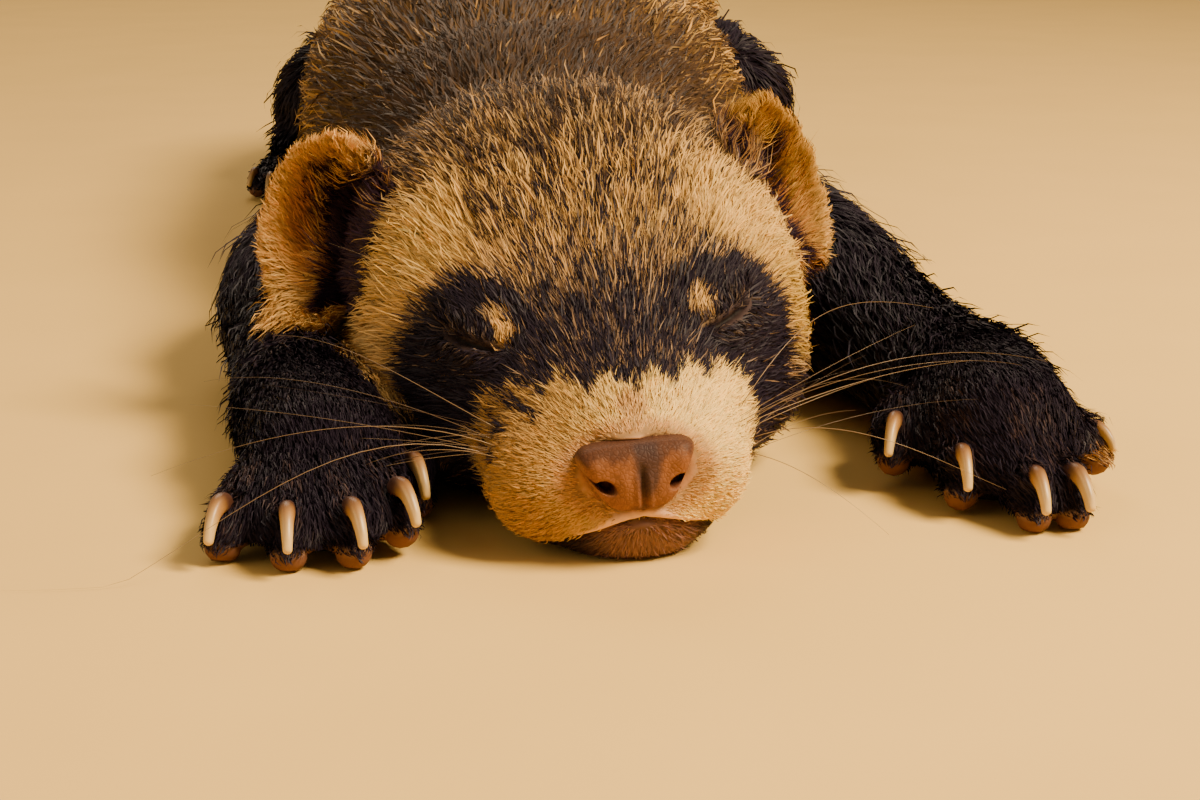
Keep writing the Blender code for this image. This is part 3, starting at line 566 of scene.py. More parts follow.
    def ear(self, ear: Ear, local: Array, normals: Array, here: Array, pale: Array, deep: Array,
            dark: Array) -> None:
        """Set the colours of one ear: cream rim and back, tan then black in the cup, the black being painted shade in
        its hollow.

        Args:
            ear: The ear.
            local: Places in the head's frame.
            normals: The skin's normals there.
            here: Which places lie on this ear.
            pale: The pale colours, which it changes.
            deep: The dark colours, which it changes.
            dark: The shares of dark, which it changes.
        """
        seat = ear.inside(local)
        up, inward = seat[:, 0], seat[:, 1]
        reach = np.hypot(up, inward)
        _, medial, facing = HEAD.turned(ear.axes())
        front = ease(-0.25, 0.35, normals @ facing)
        inner_side = ease(0.10, 0.40, -(normals @ medial)) * ease(-0.65, -0.35, normals @ facing)
        front = np.maximum(front, inner_side * ease(-0.55, -0.35, inward))
        cup = front * (1 - ease(0.60, 0.86, reach))
        wall = ease(-0.18, 0.10, inward - 0.25 * up) * (1 - ease(0.42, 0.66, up)) * (1 - ease(0.85, 1.05, reach))
        wall = wall * ease(-8.5, -6.5, seat[:, 2])
        hollow = np.maximum(cup, wall)
        shade = np.maximum(ease(-0.62, -0.05, inward + 0.15 * up), wall)
        root = ease(0.50, 0.85, inward) * (1 - wall)
        rim = mix(np.broadcast_to(CREAM * ear.rim_tint_and_shade, pale.shape), GOLD, ease(0.3, -0.9, up) * 0.7)
        rim = mix(rim, TAN, root)
        pale[here] = mix(rim, TAN * (1.75, 1.20, 0.72), hollow)[here]
        dark[here] = (0.04 + 0.42 * root + hollow * (0.12 + 0.86 * shade))[here]
        deep[here] = SABLE * (1.9, 1.2, 1.3)


def mix1(first: Array, second: Array | float, share: Array) -> Array:
    """Return the way from first to second, value by value."""
    return first * (1 - share) + second * share


MARKINGS = Markings()


def mouth_height(across: Array, back: Array) -> Array:
    """Return the height of the line of the mouth, in the head's frame."""
    aside = ease(0.0, 9.0, np.abs(across))
    return -5.2 - 2.6 * aside + 1.4 * np.clip((back - 10.0) / 14.0, 0.0, 1.0)


@dataclass
class Skin:
    """The one skin under the coat, which takes the place of every node of flesh."""

    overlap: float = 0.25 * MM
    voxel: float = 1.26 * MM
    soften: int = 3
    mouth_depth: float = 0.75
    mouth_width: float = 0.34
    lip_roll: float = 0.22
    lid_bulge: float = 0.75
    slit_depth: float = 0.85
    slit_width: float = 0.30
    pad_radius: float = 1.9
    sheath: tuple[float, float] = (-0.5, 2.45)
    sheath_radius: float = 1.75
    piece: bpy.types.Object = field(init=False)
    regions: Array = field(init=False)
    reach: Array = field(init=False)
    lie: Array = field(init=False)
    length: Array = field(init=False)
    density: Array = field(init=False)
    bare: Array = field(init=False)
    bare_tint: Array = field(init=False)

    def build(self) -> None:
        """Fuse the flesh, sink it by the coat's depth and work out how the coat lies on it."""
        names = tuple(node for nodes in NODES_OF.values() for node in nodes)
        self.piece = copy_nodes("ferret_skin", names)
        lookup, labels = self.label_tree()
        add_modifier(self.piece, "DISPLACE", strength=self.overlap, mid_level=0.0)
        add_modifier(self.piece, "REMESH", mode="VOXEL", voxel_size=self.voxel)
        add_modifier(self.piece, "SMOOTH", factor=0.5, iterations=self.soften)
        self.refine(self.face_zone)
        self.refine(self.fine_zone)
        self.refine(self.toe_zone)
        self.refine(self.pad_zone)
        self.label(lookup, labels)
        self.sink()
        self.sculpt()
        self.comb()
        self.dress()
        LOG.info("%s: %d faces", self.piece.name, len(self.piece.data.polygons))

    def label_tree(self) -> tuple[BVHTree, Array]:
        """Return a search tree over the flesh nodes' faces, and each face's region."""
        points, faces, labels = [], [], []
        for region, nodes in NODES_OF.items():
            for node in nodes:
                mesh = frame["nodes"][node].data
                start = len(points)
                points += [vertex.co.copy() for vertex in mesh.vertices]
                faces += [[start + index for index in polygon.vertices] for polygon in mesh.polygons]
                labels += [region.value] * len(mesh.polygons)
        return BVHTree.FromPolygons(points, faces), np.array(labels)

    def face_zone(self, local: Array) -> Array:
        """Return which points lie round the muzzle and the eyes."""
        near = (local[:, 1] < 18.0) & (np.abs(local[:, 0]) < 16.0) & (local[:, 2] < 8.0)
        for eye in EYES:
            near |= np.linalg.norm(eye.inside(local), axis=1) < 7.5
        return near

    def fine_zone(self, local: Array) -> Array:
        """Return which points lie along the mouth and the lids' slits."""
        gap = np.abs(local[:, 2] - mouth_height(local[:, 0], local[:, 1]))
        near = (gap < 2.2) & (local[:, 1] < 16.0) & (np.abs(local[:, 0]) < 15.0)
        for eye in EYES:
            rows = eye.inside(local)
            near |= (np.abs(rows[:, 0]) < 5.6) & (np.abs(rows[:, 1]) < 2.6) & (rows[:, 2] > -2.0)
        return near

    def toe_zone(self, local: Array) -> Array:
        """Return which points lie round the pads of the toes."""
        points = HEAD.outside(local)
        near = np.zeros(len(points), bool)
        for toe in TOES:
            near |= np.linalg.norm(points - toe.pad, axis=1) < 2.7 * toe.share * MM
        return near

    def pad_zone(self, local: Array) -> Array:
        """Return which points lie close round the pads of the forepaws."""
        points = HEAD.outside(local)
        near = np.zeros(len(points), bool)
        for toe in TOES:
            if toe.name.startswith("fore"):
                near |= np.linalg.norm(points - toe.pad, axis=1) < 2.3 * MM
        return near

    def refine(self, zone: Callable[[Array], Array]) -> None:
        """Divide the faces of a zone once more.

        Args:
            zone: Tells which places of the head's frame lie in the zone.
        """
        make_active(self.piece)
        mesh = self.piece.data
        bpy.ops.object.mode_set(mode="EDIT")
        bpy.ops.mesh.select_mode(type="VERT")
        bpy.ops.mesh.select_all(action="DESELECT")
        bpy.ops.object.mode_set(mode="OBJECT")
        mesh.vertices.foreach_set("select", zone(HEAD.inside(points_of(mesh))))
        bpy.ops.object.mode_set(mode="EDIT")
        bpy.ops.mesh.select_mode(type="FACE")
        bpy.ops.mesh.subdivide(number_cuts=1, smoothness=0.0)
        bpy.ops.mesh.select_mode(type="VERT")
        bpy.ops.object.mode_set(mode="OBJECT")

    def label(self, lookup: BVHTree, labels: Array) -> None:
        """Give each point the region of the nearest flesh."""
        found = [lookup.find_nearest(Vector(point))[2] for point in points_of(self.piece.data)]
        self.regions = labels[np.array(found)]

    def edges(self) -> Array:
        """Return the skin's edges as pairs of points."""
        edges = np.empty(len(self.piece.data.edges) * 2, np.int64)
        self.piece.data.edges.foreach_get("vertices", edges)
        return edges.reshape(-1, 2)

    def spread(self, values: Array, rounds: int, share: float = 0.6) -> Array:
        """Smooth values over the skin.

        Args:
            values: One row or number a point.
            rounds: How often each point moves towards its neighbours' mean.
            share: How far it moves each time.

        Returns:
            The smoothed values.
        """
        edges = self.edges()
        count = len(self.piece.data.vertices)
        first = np.concatenate((edges[:, 0], edges[:, 1]))
        second = np.concatenate((edges[:, 1], edges[:, 0]))
        degree = np.maximum(np.bincount(first, minlength=count), 1)
        columns = np.array(values, float).reshape(count, -1).T
        for _ in range(rounds):
            for row in columns:
                mean = np.bincount(first, weights=row[second], minlength=count) / degree
                row += (mean - row) * share
        return columns.T.reshape(np.shape(values))

    def sink(self) -> None:
        """Move the skin in by the depth of the coat."""
        mesh = self.piece.data
        points, normals = points_of(mesh), normals_of(mesh)
        local = HEAD.inside(points)
        depth_of = {
            Region.JAW: 0.7, Region.EAR: 0.6, Region.LIDS: 0.7, Region.NECK: 5.0, Region.TRUNK: 6.5,
            Region.RUMP: 6.0, Region.TAIL: 4.6, Region.FORELEG: 2.4, Region.FOREPAW: 0.95,
            Region.HINDLEG: 3.2, Region.HINDFOOT: 1.0,
        }
        depth = np.interp(local[:, 1], (0, 4, 12, 22, 34, 50, 74), (0.3, 0.55, 0.8, 1.2, 2.2, 3.2, 4.2))
        for region, value in depth_of.items():
            depth = np.where(self.regions == region.value, value, depth)
        tail_end = ease(265.0, 284.0, points[:, 1] / MM)
        depth = mix1(depth, 1.6, tail_end)
        resting = (1 - ease(0.0, 9.0, points[:, 2] / MM)) * ease(0.1, 0.8, -normals[:, 2])
        depth = mix1(depth, 0.5, resting)
        depth = self.spread(depth, 26)
        near_nose = np.linalg.norm(local / np.array((7.5, 4.0, 5.5)), axis=1)
        depth = depth * (0.2 + 0.8 * ease(0.8, 1.7, near_nose))
        self.reach = depth
        inward = unit(self.spread(normals, 6))
        points = self.spread(points - inward * depth[:, None] * MM, 3)
        points[:, 2] = np.maximum(points[:, 2], 0.25 * MM)
        set_points(mesh, points)

    def sculpt(self) -> None:
        """Shape the lips, the closed lids and the pads of the toes, and note where skin is bare."""
        mesh = self.piece.data
        points, normals = points_of(mesh), unit(self.spread(normals_of(mesh), 4))
        local = HEAD.inside(points)
        across, back = np.abs(local[:, 0]), local[:, 1]
        gap = local[:, 2] - mouth_height(local[:, 0], back)
        in_mouth = (1 - ease(16.0, 22.0, back)) * (1 - ease(14.0, 17.0, across)) * (back > -3)
        rise = -self.mouth_depth * np.exp(-((gap / self.mouth_width) ** 2)) * in_mouth
        front = (1 - ease(6.0, 11.0, across)) * (1 - ease(6.0, 12.0, back))
        rise += self.lip_roll * np.exp(-(((gap - 0.95) / 0.5) ** 2)) * front
        notch = np.exp(-((local[:, 0] - 0.3) / 0.45) ** 2) * ((gap > -0.2) & (gap < 2.0) & (back < 4))
        rise -= 0.35 * notch
        lip = np.exp(-(((gap - 0.55) / 0.75) ** 2)) * front
        seat = np.linalg.norm(local / np.array((6.2, 6.0, 3.7)), axis=1)
        around_nose = 1 - ease(0.96, 1.04, seat)
        self.bare = np.clip(np.maximum(lip * 1.6, around_nose), 0, 1)
        tint = np.tile(BARE_PINK, (len(points), 1))
        tint = mix(tint, BARE_TAN, around_nose * (1 - lip))
        # Below the mouth the bare lip is painted brown: partly its own colour, partly painted shade under the upper lip
        tint = mix(tint, BARE_BROWN * 1.15, ease(0.05, -0.45, gap) * front)
        # Painted shade: the crease of the closed mouth is painted near black
        tint = mix(tint, BARE_DARK, np.exp(-((gap / 0.32) ** 2)) * in_mouth)
        for eye in EYES:
            rows = eye.inside(local)
            near = (rows[:, 2] > -3.0) & (np.abs(rows[:, 0]) < 9) & (np.abs(rows[:, 1]) < 7)
            mound = 1 - (rows[:, 0] / (eye.half_length * 1.15)) ** 2 - (rows[:, 1] / eye.half_height) ** 2
            mound = np.clip(mound, 0.0, 1.0) ** 0.8
            ends = 1 - ease(eye.half_length * 0.86, eye.half_length * 1.1, np.abs(rows[:, 0]))
            slit = np.exp(-((rows[:, 1] / self.slit_width) ** 2)) * ends
            lids = np.exp(-(((np.abs(rows[:, 1]) - 0.75) / 0.4) ** 2)) * ends
            rise += (self.lid_bulge * mound - self.slit_depth * slit + 0.16 * lids) * near
            shown = near * np.exp(-((rows[:, 1] / 0.55) ** 2)) * ends
            beside = near * np.exp(-((rows[:, 1] / 1.7) ** 2)) * (np.abs(rows[:, 0]) < 7.5)
            tint = mix(tint, BARE_BROWN * 0.55, np.clip(beside * 1.6, 0, 1))
            tint = mix(tint, BARE_DARK, shown)
            # Painted shade: the crease of the closed slit is painted almost black, darker than the lids' dark skin
            tint = mix(tint, BARE_DARK * 0.12, near * slit)
            self.bare = np.maximum(self.bare, shown)
        points = points + normals * (rise * MM)[:, None]
        points = self.press_pads(points, tint)
        points[:, 2] = np.maximum(points[:, 2], 0.25 * MM)
        self.bare_tint = tint
        set_points(mesh, points)
        mesh.shade_smooth()

    def press_pads(self, points: Array, tint: Array) -> Array:
        """Round the toes' pads and the claws' sheaths out of the skin, and mark the pads bare.

        Args:
            points: The skin's points.
            tint: The bare skin's colours, which it changes.

        Returns:
            The moved points.
        """
        for toe in TOES:
            radius = self.pad_radius * toe.share * MM
            away = points - toe.pad
            distance = np.linalg.norm(away, axis=1)
            near = (distance < 2.0 * radius) & (away @ toe.way > -0.6 * radius)
            push = np.maximum(radius - distance, 0.0) * near
            points = points + unit(away) * push[:, None]
            level = (points[:, 2] - toe.tip[2]) / MM
            shown = near * (1 - ease(1.05, 1.25, distance / radius)) * (1 - ease(-1.3, -0.2, level))
            self.bare = np.maximum(self.bare, shown)
            tint[:] = mix(tint, np.array((0.135, 0.057, 0.028)), shown)
            sheath = toe.tip + (toe.way * self.sheath[0] + np.array((0.0, 0.0, self.sheath[1]))) * toe.share * MM
            away = points - sheath
            distance = np.linalg.norm(away, axis=1)
            radius = self.sheath_radius * toe.share * MM
            push = np.maximum(radius - distance, 0.0) * (away[:, 2] > -0.4 * radius)
            points = points + unit(away) * push[:, None]
        return points

    def comb(self) -> None:
        """Work out the coat's lie, length and density at each point."""
        mesh = self.piece.data
        points, normals = points_of(mesh), normals_of(mesh)
        local = HEAD.inside(points)
        side = np.sign(local[:, 0])
        lie = np.tile(np.array((0.0, 1.0, 0.0)), (len(points), 1))
        radial = local - np.array((0.0, -5.0, 0.5))
        radial[:, 1] *= 1.25
        radial[:, 2] *= 0.6
        radial = unit(radial)
        radial[:, 2] -= 0.35 * ease(14.0, 24.0, np.abs(local[:, 0])) * (1 - ease(6.0, 20.0, local[:, 2]))
        for ear in EARS:
            before_ear = 1 - ease(12.0, 20.0, np.linalg.norm(
                local - np.array(ear.centre) * (ear.side, 1.0, 1.0), axis=1))
            radial += (np.array((0.9 * ear.side, 0.2, 0.25)) * before_ear[:, None])
        head_lie = HEAD.turned(unit(radial))
        flank = np.sign(points[:, 0] / MM - 1.0)
        lie[:, 0] = flank * 0.10
        lie[:, 2] = -0.22
        self.set_lie(lie, head_lie, (Region.HEAD, Region.JAW, Region.LIDS))
        self.set_lie(lie, self.ear_lie(local), (Region.EAR,))
        self.set_lie(lie, self.tail_lie(points), (Region.TAIL,))
        reach_arm = ease(-95.0, -135.0, points[:, 1] / MM)
        arm = np.stack((side * 0.75 * (1 - reach_arm), 0.7 - 1.7 * reach_arm, -0.5 * (1 - reach_arm) - 0.1), axis=1)
        self.set_lie(lie, arm, (Region.FORELEG,))
        self.set_lie(lie, self.paw_lie(points), (Region.FOREPAW,))
        self.set_lie(lie, np.broadcast_to((0.0, 0.55, -0.8), points.shape), (Region.HINDLEG,))
        self.set_lie(lie, np.broadcast_to((0.0, -1.0, -0.15), points.shape), (Region.HINDFOOT,))
        lie = self.spread(unit(lie), 22)
        for eye in EYES:
            rows = eye.inside(local)
            along, above, _ = HEAD.turned(eye.axes())
            near = (1 - ease(1.2, 3.0, np.abs(rows[:, 1]))) * (1 - ease(4.5, 6.5, np.abs(rows[:, 0])))
            near = near * (np.abs(rows[:, 2]) < 4.5)
            away = along * 0.7 + above * np.sign(rows[:, 1])[:, None]
            lie = mix(lie, unit(away), near)
        lie -= normals * (lie * normals).sum(axis=1, keepdims=True)
        self.lie = unit(lie)
        self.measure(points, normals, local)

    def set_lie(self, lie: Array, values: Array, regions: tuple[Region, ...]) -> None:
        """Write the lie of some regions."""
        chosen = np.isin(self.regions, [region.value for region in regions])
        lie[chosen] = unit(np.asarray(values, float))[chosen]

    def ear_lie(self, local: Array) -> Array:
        """Return the lie on the ears: out from the root to the rim, on both faces."""
        lie = np.zeros_like(local)
        for ear in EARS:
            up, inward, facing = ear.axes()
            seat = ear.inside(local)
            outward = up * (seat[:, :1] + 0.5) + inward * seat[:, 1:2] + facing * 0.15
            here = local[:, 0] * ear.side > 0
            lie[here] = outward[here]
        return HEAD.turned(lie)

    def tail_lie(self, points: Array) -> Array:
        """Return the lie on the tail, along its bends."""
        stations = np.array(((6.0, 140.0), (16.5, 167.0), (26.0, 193.0), (33.0, 219.0),
                             (32.0, 245.0), (23.0, 267.0), (12.0, 283.0))) * MM
        ways = np.gradient(stations, axis=0)
        along_x = np.interp(points[:, 1], stations[:, 1], ways[:, 0])
        along_y = np.interp(points[:, 1], stations[:, 1], ways[:, 1])
        return np.stack((along_x, along_y, np.full(len(points), -0.002)), axis=1)

    def paw_lie(self, points: Array) -> Array:
        """Return the lie on the forepaws: along the nearest toe, from the wrist on."""
        lie = np.tile(np.array((0.0, -1.0, -0.1)), (len(points), 1))
        fore = [toe for toe in TOES if toe.name.startswith("fore")]
        away = np.stack([np.linalg.norm(points - toe.tip, axis=1) for toe in fore], axis=1)
        weight = 1 / (away / MM + 1.0) ** 3
        ways = np.array([toe.way for toe in fore])
        lie = (weight @ ways) / weight.sum(axis=1, keepdims=True)
        lie[:, 2] = -0.18
        return lie

    def measure(self, points: Array, normals: Array, local: Array) -> None:
        """Set the coat's length and density at each point."""
        back = local[:, 1]
        length_of = {
            Region.JAW: 2.6, Region.EAR: 2.0, Region.LIDS: 1.6, Region.NECK: 11.0, Region.TRUNK: 15.0,
            Region.RUMP: 15.0, Region.TAIL: 17.0, Region.FORELEG: 6.5, Region.FOREPAW: 2.8,
            Region.HINDLEG: 8.0, Region.HINDFOOT: 3.0,
        }
        length = np.interp(back, (0, 5, 12, 22, 34, 50, 74), (1.0, 2.0, 3.5, 4.2, 5.6, 7.0, 9.5))
        length = length + 2.4 * ease(17.0, 25.0, np.abs(local[:, 0])) * ease(22.0, 34.0, back)
        for ear in EARS:
            off = np.linalg.norm(local - np.array(ear.centre) * (ear.side, 1.0, 1.0), axis=1)
            length += 1.2 * (1 - ease(11.0, 17.0, off))
            length *= 1 - 0.55 * ear.shadow(local) * (local[:, 0] * ear.side > 0)
        for eye in EYES:
            rows = eye.inside(local)
            length *= 0.35 + 0.65 * ease(1.5, 6.5, np.linalg.norm(rows * (0.7, 1.0, 1.0), axis=1))
        for region, value in length_of.items():
            length = np.where(self.regions == region.value, value, length)
        for toe in TOES:
            away = (points - toe.tip) / MM
            near = 1 - ease(3.0, 7.0, np.linalg.norm(away, axis=1))
            length *= 1 - near * mix1(0.55, -0.25, ease(0.0, 2.5, away[:, 2]))
        self.length = self.spread(length, 12)
        density = 1 - ease(0.35, 0.8, self.bare)
        for ear in EARS:
            seat = ear.inside(local)
            reach = np.hypot(seat[:, 0], seat[:, 1])
            hollow = (normals @ HEAD.turned(ear.axes()[2]) > 0.2) & (reach < 0.62)
            here = (self.regions == Region.EAR.value) & (local[:, 0] * ear.side > 0)
            density = np.where(here & hollow, 0.14, density)
            wall = here & (seat[:, 1] > 0.0) & (seat[:, 0] < 0.55) & (reach < 1.05)
            self.length = np.where(wall, self.length * 0.6, self.length)
        under = (normals[:, 2] < -0.7) & (points[:, 2] < 2.6 * MM)
        density = np.where(under, 0.05, density)
        paws = np.isin(self.regions, (Region.FOREPAW.value, Region.HINDFOOT.value))
        sole = paws & (normals[:, 2] < -0.25) & (points[:, 2] < 2.2 * MM)
        self.density = np.where(sole, 0.0, density)

    def dress(self) -> None:
        """Paint the skin with the coat's markings, give it its finish and attach it to the body."""
        mesh = self.piece.data
        points, normals = points_of(mesh), normals_of(mesh)
        pale, deep, dark = MARKINGS.at(points, self.regions, normals)
        # The skin takes the coat's colours with the pale ones halved: painted shade deep in the coat
        colours = mix(pale * 0.5, deep, dark)
        colours = mix(colours, self.bare_tint, np.clip(self.bare, 0, 1))
        paint(mesh, colours)
        mesh.materials.append(SkinFinish("skin_under_coat").material())
        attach(self.piece, BODY)
        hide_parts(*(node for nodes in NODES_OF.values() for node in nodes))


def socket(group: bpy.types.NodeTree, name: str, way: str, kind: str, default: object = None) -> None:
    """Add a socket to a node group.

    Args:
        group: The node group.
        name: The socket's name.
        way: INPUT or OUTPUT.
        kind: The socket's type.
        default: The input's value where nothing is linked.
    """
    made = group.interface.new_socket(name, in_out=way, socket_type=kind)
    if default is not None:
        made.default_value = default


def begin_group(name: str, inputs: dict[str, tuple[str, object]], outputs: dict[str, str]) -> bpy.types.NodeTree:
    """Return a new node group with its sockets.

    Args:
        name: The group's name.
        inputs: Each input's socket type and default.
        outputs: Each output's socket type.
    """
    group = bpy.data.node_groups.new(name, "ShaderNodeTree")
    for label, (kind, default) in inputs.items():
        socket(group, label, "INPUT", kind, default)
    for label, kind in outputs.items():
        socket(group, label, "OUTPUT", kind)
    return group


def mottle_group() -> bpy.types.NodeTree:
    """Return the shared group that varies a colour's brightness with noise."""
    found = bpy.data.node_groups.get("mottle")
    if found:
        return found
    group = begin_group(
        "mottle",
        {"Colour": ("NodeSocketColor", (0.5, 0.5, 0.5, 1.0)), "Scale": ("NodeSocketFloat", 400.0),
         "Strength": ("NodeSocketFloat", 0.2), "Stretch": ("NodeSocketVector", (1.0, 1.0, 1.0))},
        {"Colour": "NodeSocketColor", "Grain": "NodeSocketFloat"})
    nodes, links = group.nodes, group.links
    inputs, outputs = nodes.new("NodeGroupInput"), nodes.new("NodeGroupOutput")
    place = nodes.new("ShaderNodeTexCoord")
    stretched = nodes.new("ShaderNodeVectorMath")
    stretched.operation = "MULTIPLY"
    links.new(place.outputs["Object"], stretched.inputs[0])
    links.new(inputs.outputs["Stretch"], stretched.inputs[1])
    cloud = nodes.new("ShaderNodeTexNoise")
    cloud.inputs["Detail"].default_value = 4.0
    links.new(stretched.outputs[0], cloud.inputs["Vector"])
    links.new(inputs.outputs["Scale"], cloud.inputs["Scale"])
    centred = nodes.new("ShaderNodeMath")
    centred.operation = "MULTIPLY_ADD"
    centred.inputs[1].default_value = 2.0
    centred.inputs[2].default_value = -1.0
    links.new(cloud.outputs["Fac"], centred.inputs[0])
    scaled = nodes.new("ShaderNodeMath")
    scaled.operation = "MULTIPLY_ADD"
    scaled.inputs[2].default_value = 1.0
    links.new(centred.outputs[0], scaled.inputs[0])
    links.new(inputs.outputs["Strength"], scaled.inputs[1])
    tinted = nodes.new("ShaderNodeVectorMath")
    tinted.operation = "SCALE"
    links.new(inputs.outputs["Colour"], tinted.inputs[0])
    links.new(scaled.outputs[0], tinted.inputs["Scale"])
    links.new(tinted.outputs[0], outputs.inputs["Colour"])
    links.new(cloud.outputs["Fac"], outputs.inputs["Grain"])
    return group


def pebble_group() -> bpy.types.NodeTree:
    """Return the shared group that gives the fine pebbles of nose leather."""
    found = bpy.data.node_groups.get("pebble")
    if found:
        return found
    group = begin_group(
        "pebble", {"Scale": ("NodeSocketFloat", 1800.0)},
        {"Grain": "NodeSocketFloat", "CreaseShade": "NodeSocketFloat"})
    nodes, links = group.nodes, group.links
    inputs, outputs = nodes.new("NodeGroupInput"), nodes.new("NodeGroupOutput")
    place = nodes.new("ShaderNodeTexCoord")
    cells = nodes.new("ShaderNodeTexVoronoi")
    cells.feature = "DISTANCE_TO_EDGE"
    links.new(place.outputs["Object"], cells.inputs["Vector"])
    links.new(inputs.outputs["Scale"], cells.inputs["Scale"])
    crown = nodes.new("ShaderNodeMapRange")
    crown.interpolation_type = "SMOOTHSTEP"
    crown.inputs["From Max"].default_value = 0.28
    links.new(cells.outputs["Distance"], crown.inputs["Value"])
    # Painted shade: darker towards the pebbles' edges, in the creases
    crease_shade = nodes.new("ShaderNodeMapRange")
    crease_shade.inputs["From Max"].default_value = 0.10
    crease_shade.inputs["To Min"].default_value = 0.72
    crease_shade.inputs["To Max"].default_value = 1.0
    links.new(cells.outputs["Distance"], crease_shade.inputs["Value"])
    links.new(crown.outputs["Result"], outputs.inputs["Grain"])
    links.new(crease_shade.outputs["Result"], outputs.inputs["CreaseShade"])
    return group


@dataclass(frozen=True)
class Finish:
    """A surface: painted colours varied by noise, with a grain that is also its bump."""

    name: str
    roughness: float = 0.6
    specular: float = 0.3
    scale: float = 400.0
    strength: float = 0.2
    stretch: tuple[float, float, float] = (1.0, 1.0, 1.0)
    bump: float = 0.0
    bump_depth: float = 0.1 * MM
    gloss: float = 0.0
    gloss_roughness: float = 0.2

    def material(self) -> bpy.types.Material:
        """Return the material, made on first use."""
        found = bpy.data.materials.get(self.name)
        if found:
            return found
        made = bpy.data.materials.new(self.name)
        made.use_nodes = True
        nodes, links = made.node_tree.nodes, made.node_tree.links
        shader = nodes["Principled BSDF"]
        shader.inputs["Roughness"].default_value = self.roughness
        shader.inputs["Specular IOR Level"].default_value = self.specular
        shader.inputs["Coat Weight"].default_value = self.gloss
        shader.inputs["Coat Roughness"].default_value = self.gloss_roughness
        tint = nodes.new("ShaderNodeAttribute")
        tint.attribute_name = "tint"
        mottle = nodes.new("ShaderNodeGroup")
        mottle.node_tree = mottle_group()
        mottle.inputs["Scale"].default_value = self.scale
        mottle.inputs["Strength"].default_value = self.strength
        mottle.inputs["Stretch"].default_value = self.stretch
        links.new(tint.outputs["Color"], mottle.inputs["Colour"])
        self.finish(nodes, links, mottle, shader)
        return made

    def finish(self, nodes: bpy.types.Nodes, links: bpy.types.NodeLinks, mottle: bpy.types.Node,
               shader: bpy.types.Node) -> None:
        """Link the varied colour and the bump into the shader.

        Args:
            nodes: The material's nodes.
            links: The material's links.
            mottle: The node that varies the colour.
            shader: The surface's shader.
        """
        links.new(mottle.outputs["Colour"], shader.inputs["Base Color"])
        if self.bump:
            self.add_bump(nodes, links, mottle.outputs["Grain"], shader)

    def add_bump(self, nodes: bpy.types.Nodes, links: bpy.types.NodeLinks, grain: bpy.types.NodeSocket,
                 shader: bpy.types.Node) -> None:
        """Raise a grain out of the surface.

        Args:
            nodes: The material's nodes.
            links: The material's links.
            grain: The heights.
            shader: The surface's shader.
        """
        bump = nodes.new("ShaderNodeBump")
        bump.inputs["Strength"].default_value = self.bump
        bump.inputs["Distance"].default_value = self.bump_depth
        links.new(grain, bump.inputs["Height"])
        links.new(bump.outputs["Normal"], shader.inputs["Normal"])


@dataclass(frozen=True)
class SkinFinish(Finish):
    """The skin, with a bump like short hair that lies flat."""

    roughness: float = 0.7
    specular: float = 0.22
    scale: float = 900.0
    strength: float = 0.3
    stretch: tuple[float, float, float] = (1.0, 0.35, 1.0)
    bump: float = 0.5
    bump_depth: float = 0.16 * MM


@dataclass(frozen=True)
class CoatFinish(Finish):
    """The hair of the coat."""

    roughness: float = 0.52
    specular: float = 0.14
    scale: float = 260.0
    strength: float = 0.14


@dataclass(frozen=True)
class NoseFinish(Finish):
    """Nose leather: pebbled, a little moist, with painted shade in the creases between its pebbles."""

    roughness: float = 0.56
    specular: float = 0.15
    scale: float = 1500.0
    strength: float = 0.16
    bump: float = 0.5
    bump_depth: float = 0.05 * MM
    gloss: float = 0.015
    gloss_roughness: float = 0.35
    pebble: float = 2100.0

    def finish(self, nodes: bpy.types.Nodes, links: bpy.types.NodeLinks, mottle: bpy.types.Node,
               shader: bpy.types.Node) -> None:
        """Paint shade into the creases between the pebbles and raise the pebbles.

        Args:
            nodes: The material's nodes.
            links: The material's links.
            mottle: The node that varies the colour.
            shader: The surface's shader.
        """
        pebble = nodes.new("ShaderNodeGroup")
        pebble.node_tree = pebble_group()
        pebble.inputs["Scale"].default_value = self.pebble
        # Painted shade: the colour is darkened in the creases between the pebbles
        shaded_pebbles = nodes.new("ShaderNodeVectorMath")
        shaded_pebbles.operation = "SCALE"
        links.new(mottle.outputs["Colour"], shaded_pebbles.inputs[0])
        links.new(pebble.outputs["CreaseShade"], shaded_pebbles.inputs["Scale"])
        links.new(shaded_pebbles.outputs[0], shader.inputs["Base Color"])
        self.add_bump(nodes, links, pebble.outputs["Grain"], shader)


@dataclass(frozen=True)
class ClawFinish(Finish):
    """Claw horn: smooth, faintly ridged along its length, with a soft shine."""

    roughness: float = 0.38
    specular: float = 0.45
    scale: float = 700.0
    strength: float = 0.12
    stretch: tuple[float, float, float] = (1.0, 0.25, 1.0)
    bump: float = 0.25
    bump_depth: float = 0.05 * MM


@dataclass(frozen=True)
class WhiskerFinish(Finish):
    """Whiskers: stiff, smooth and a little shiny."""

    roughness: float = 0.35
    specular: float = 0.5
    scale: float = 300.0
    strength: float = 0.1


@dataclass
class Roots:
    """Where the tufts of one coat grow, and what the skin tells them there."""

    places: Array
    normals: Array
    lie: Array
    reach: Array
    length: Array
    regions: Array
    seats: Array


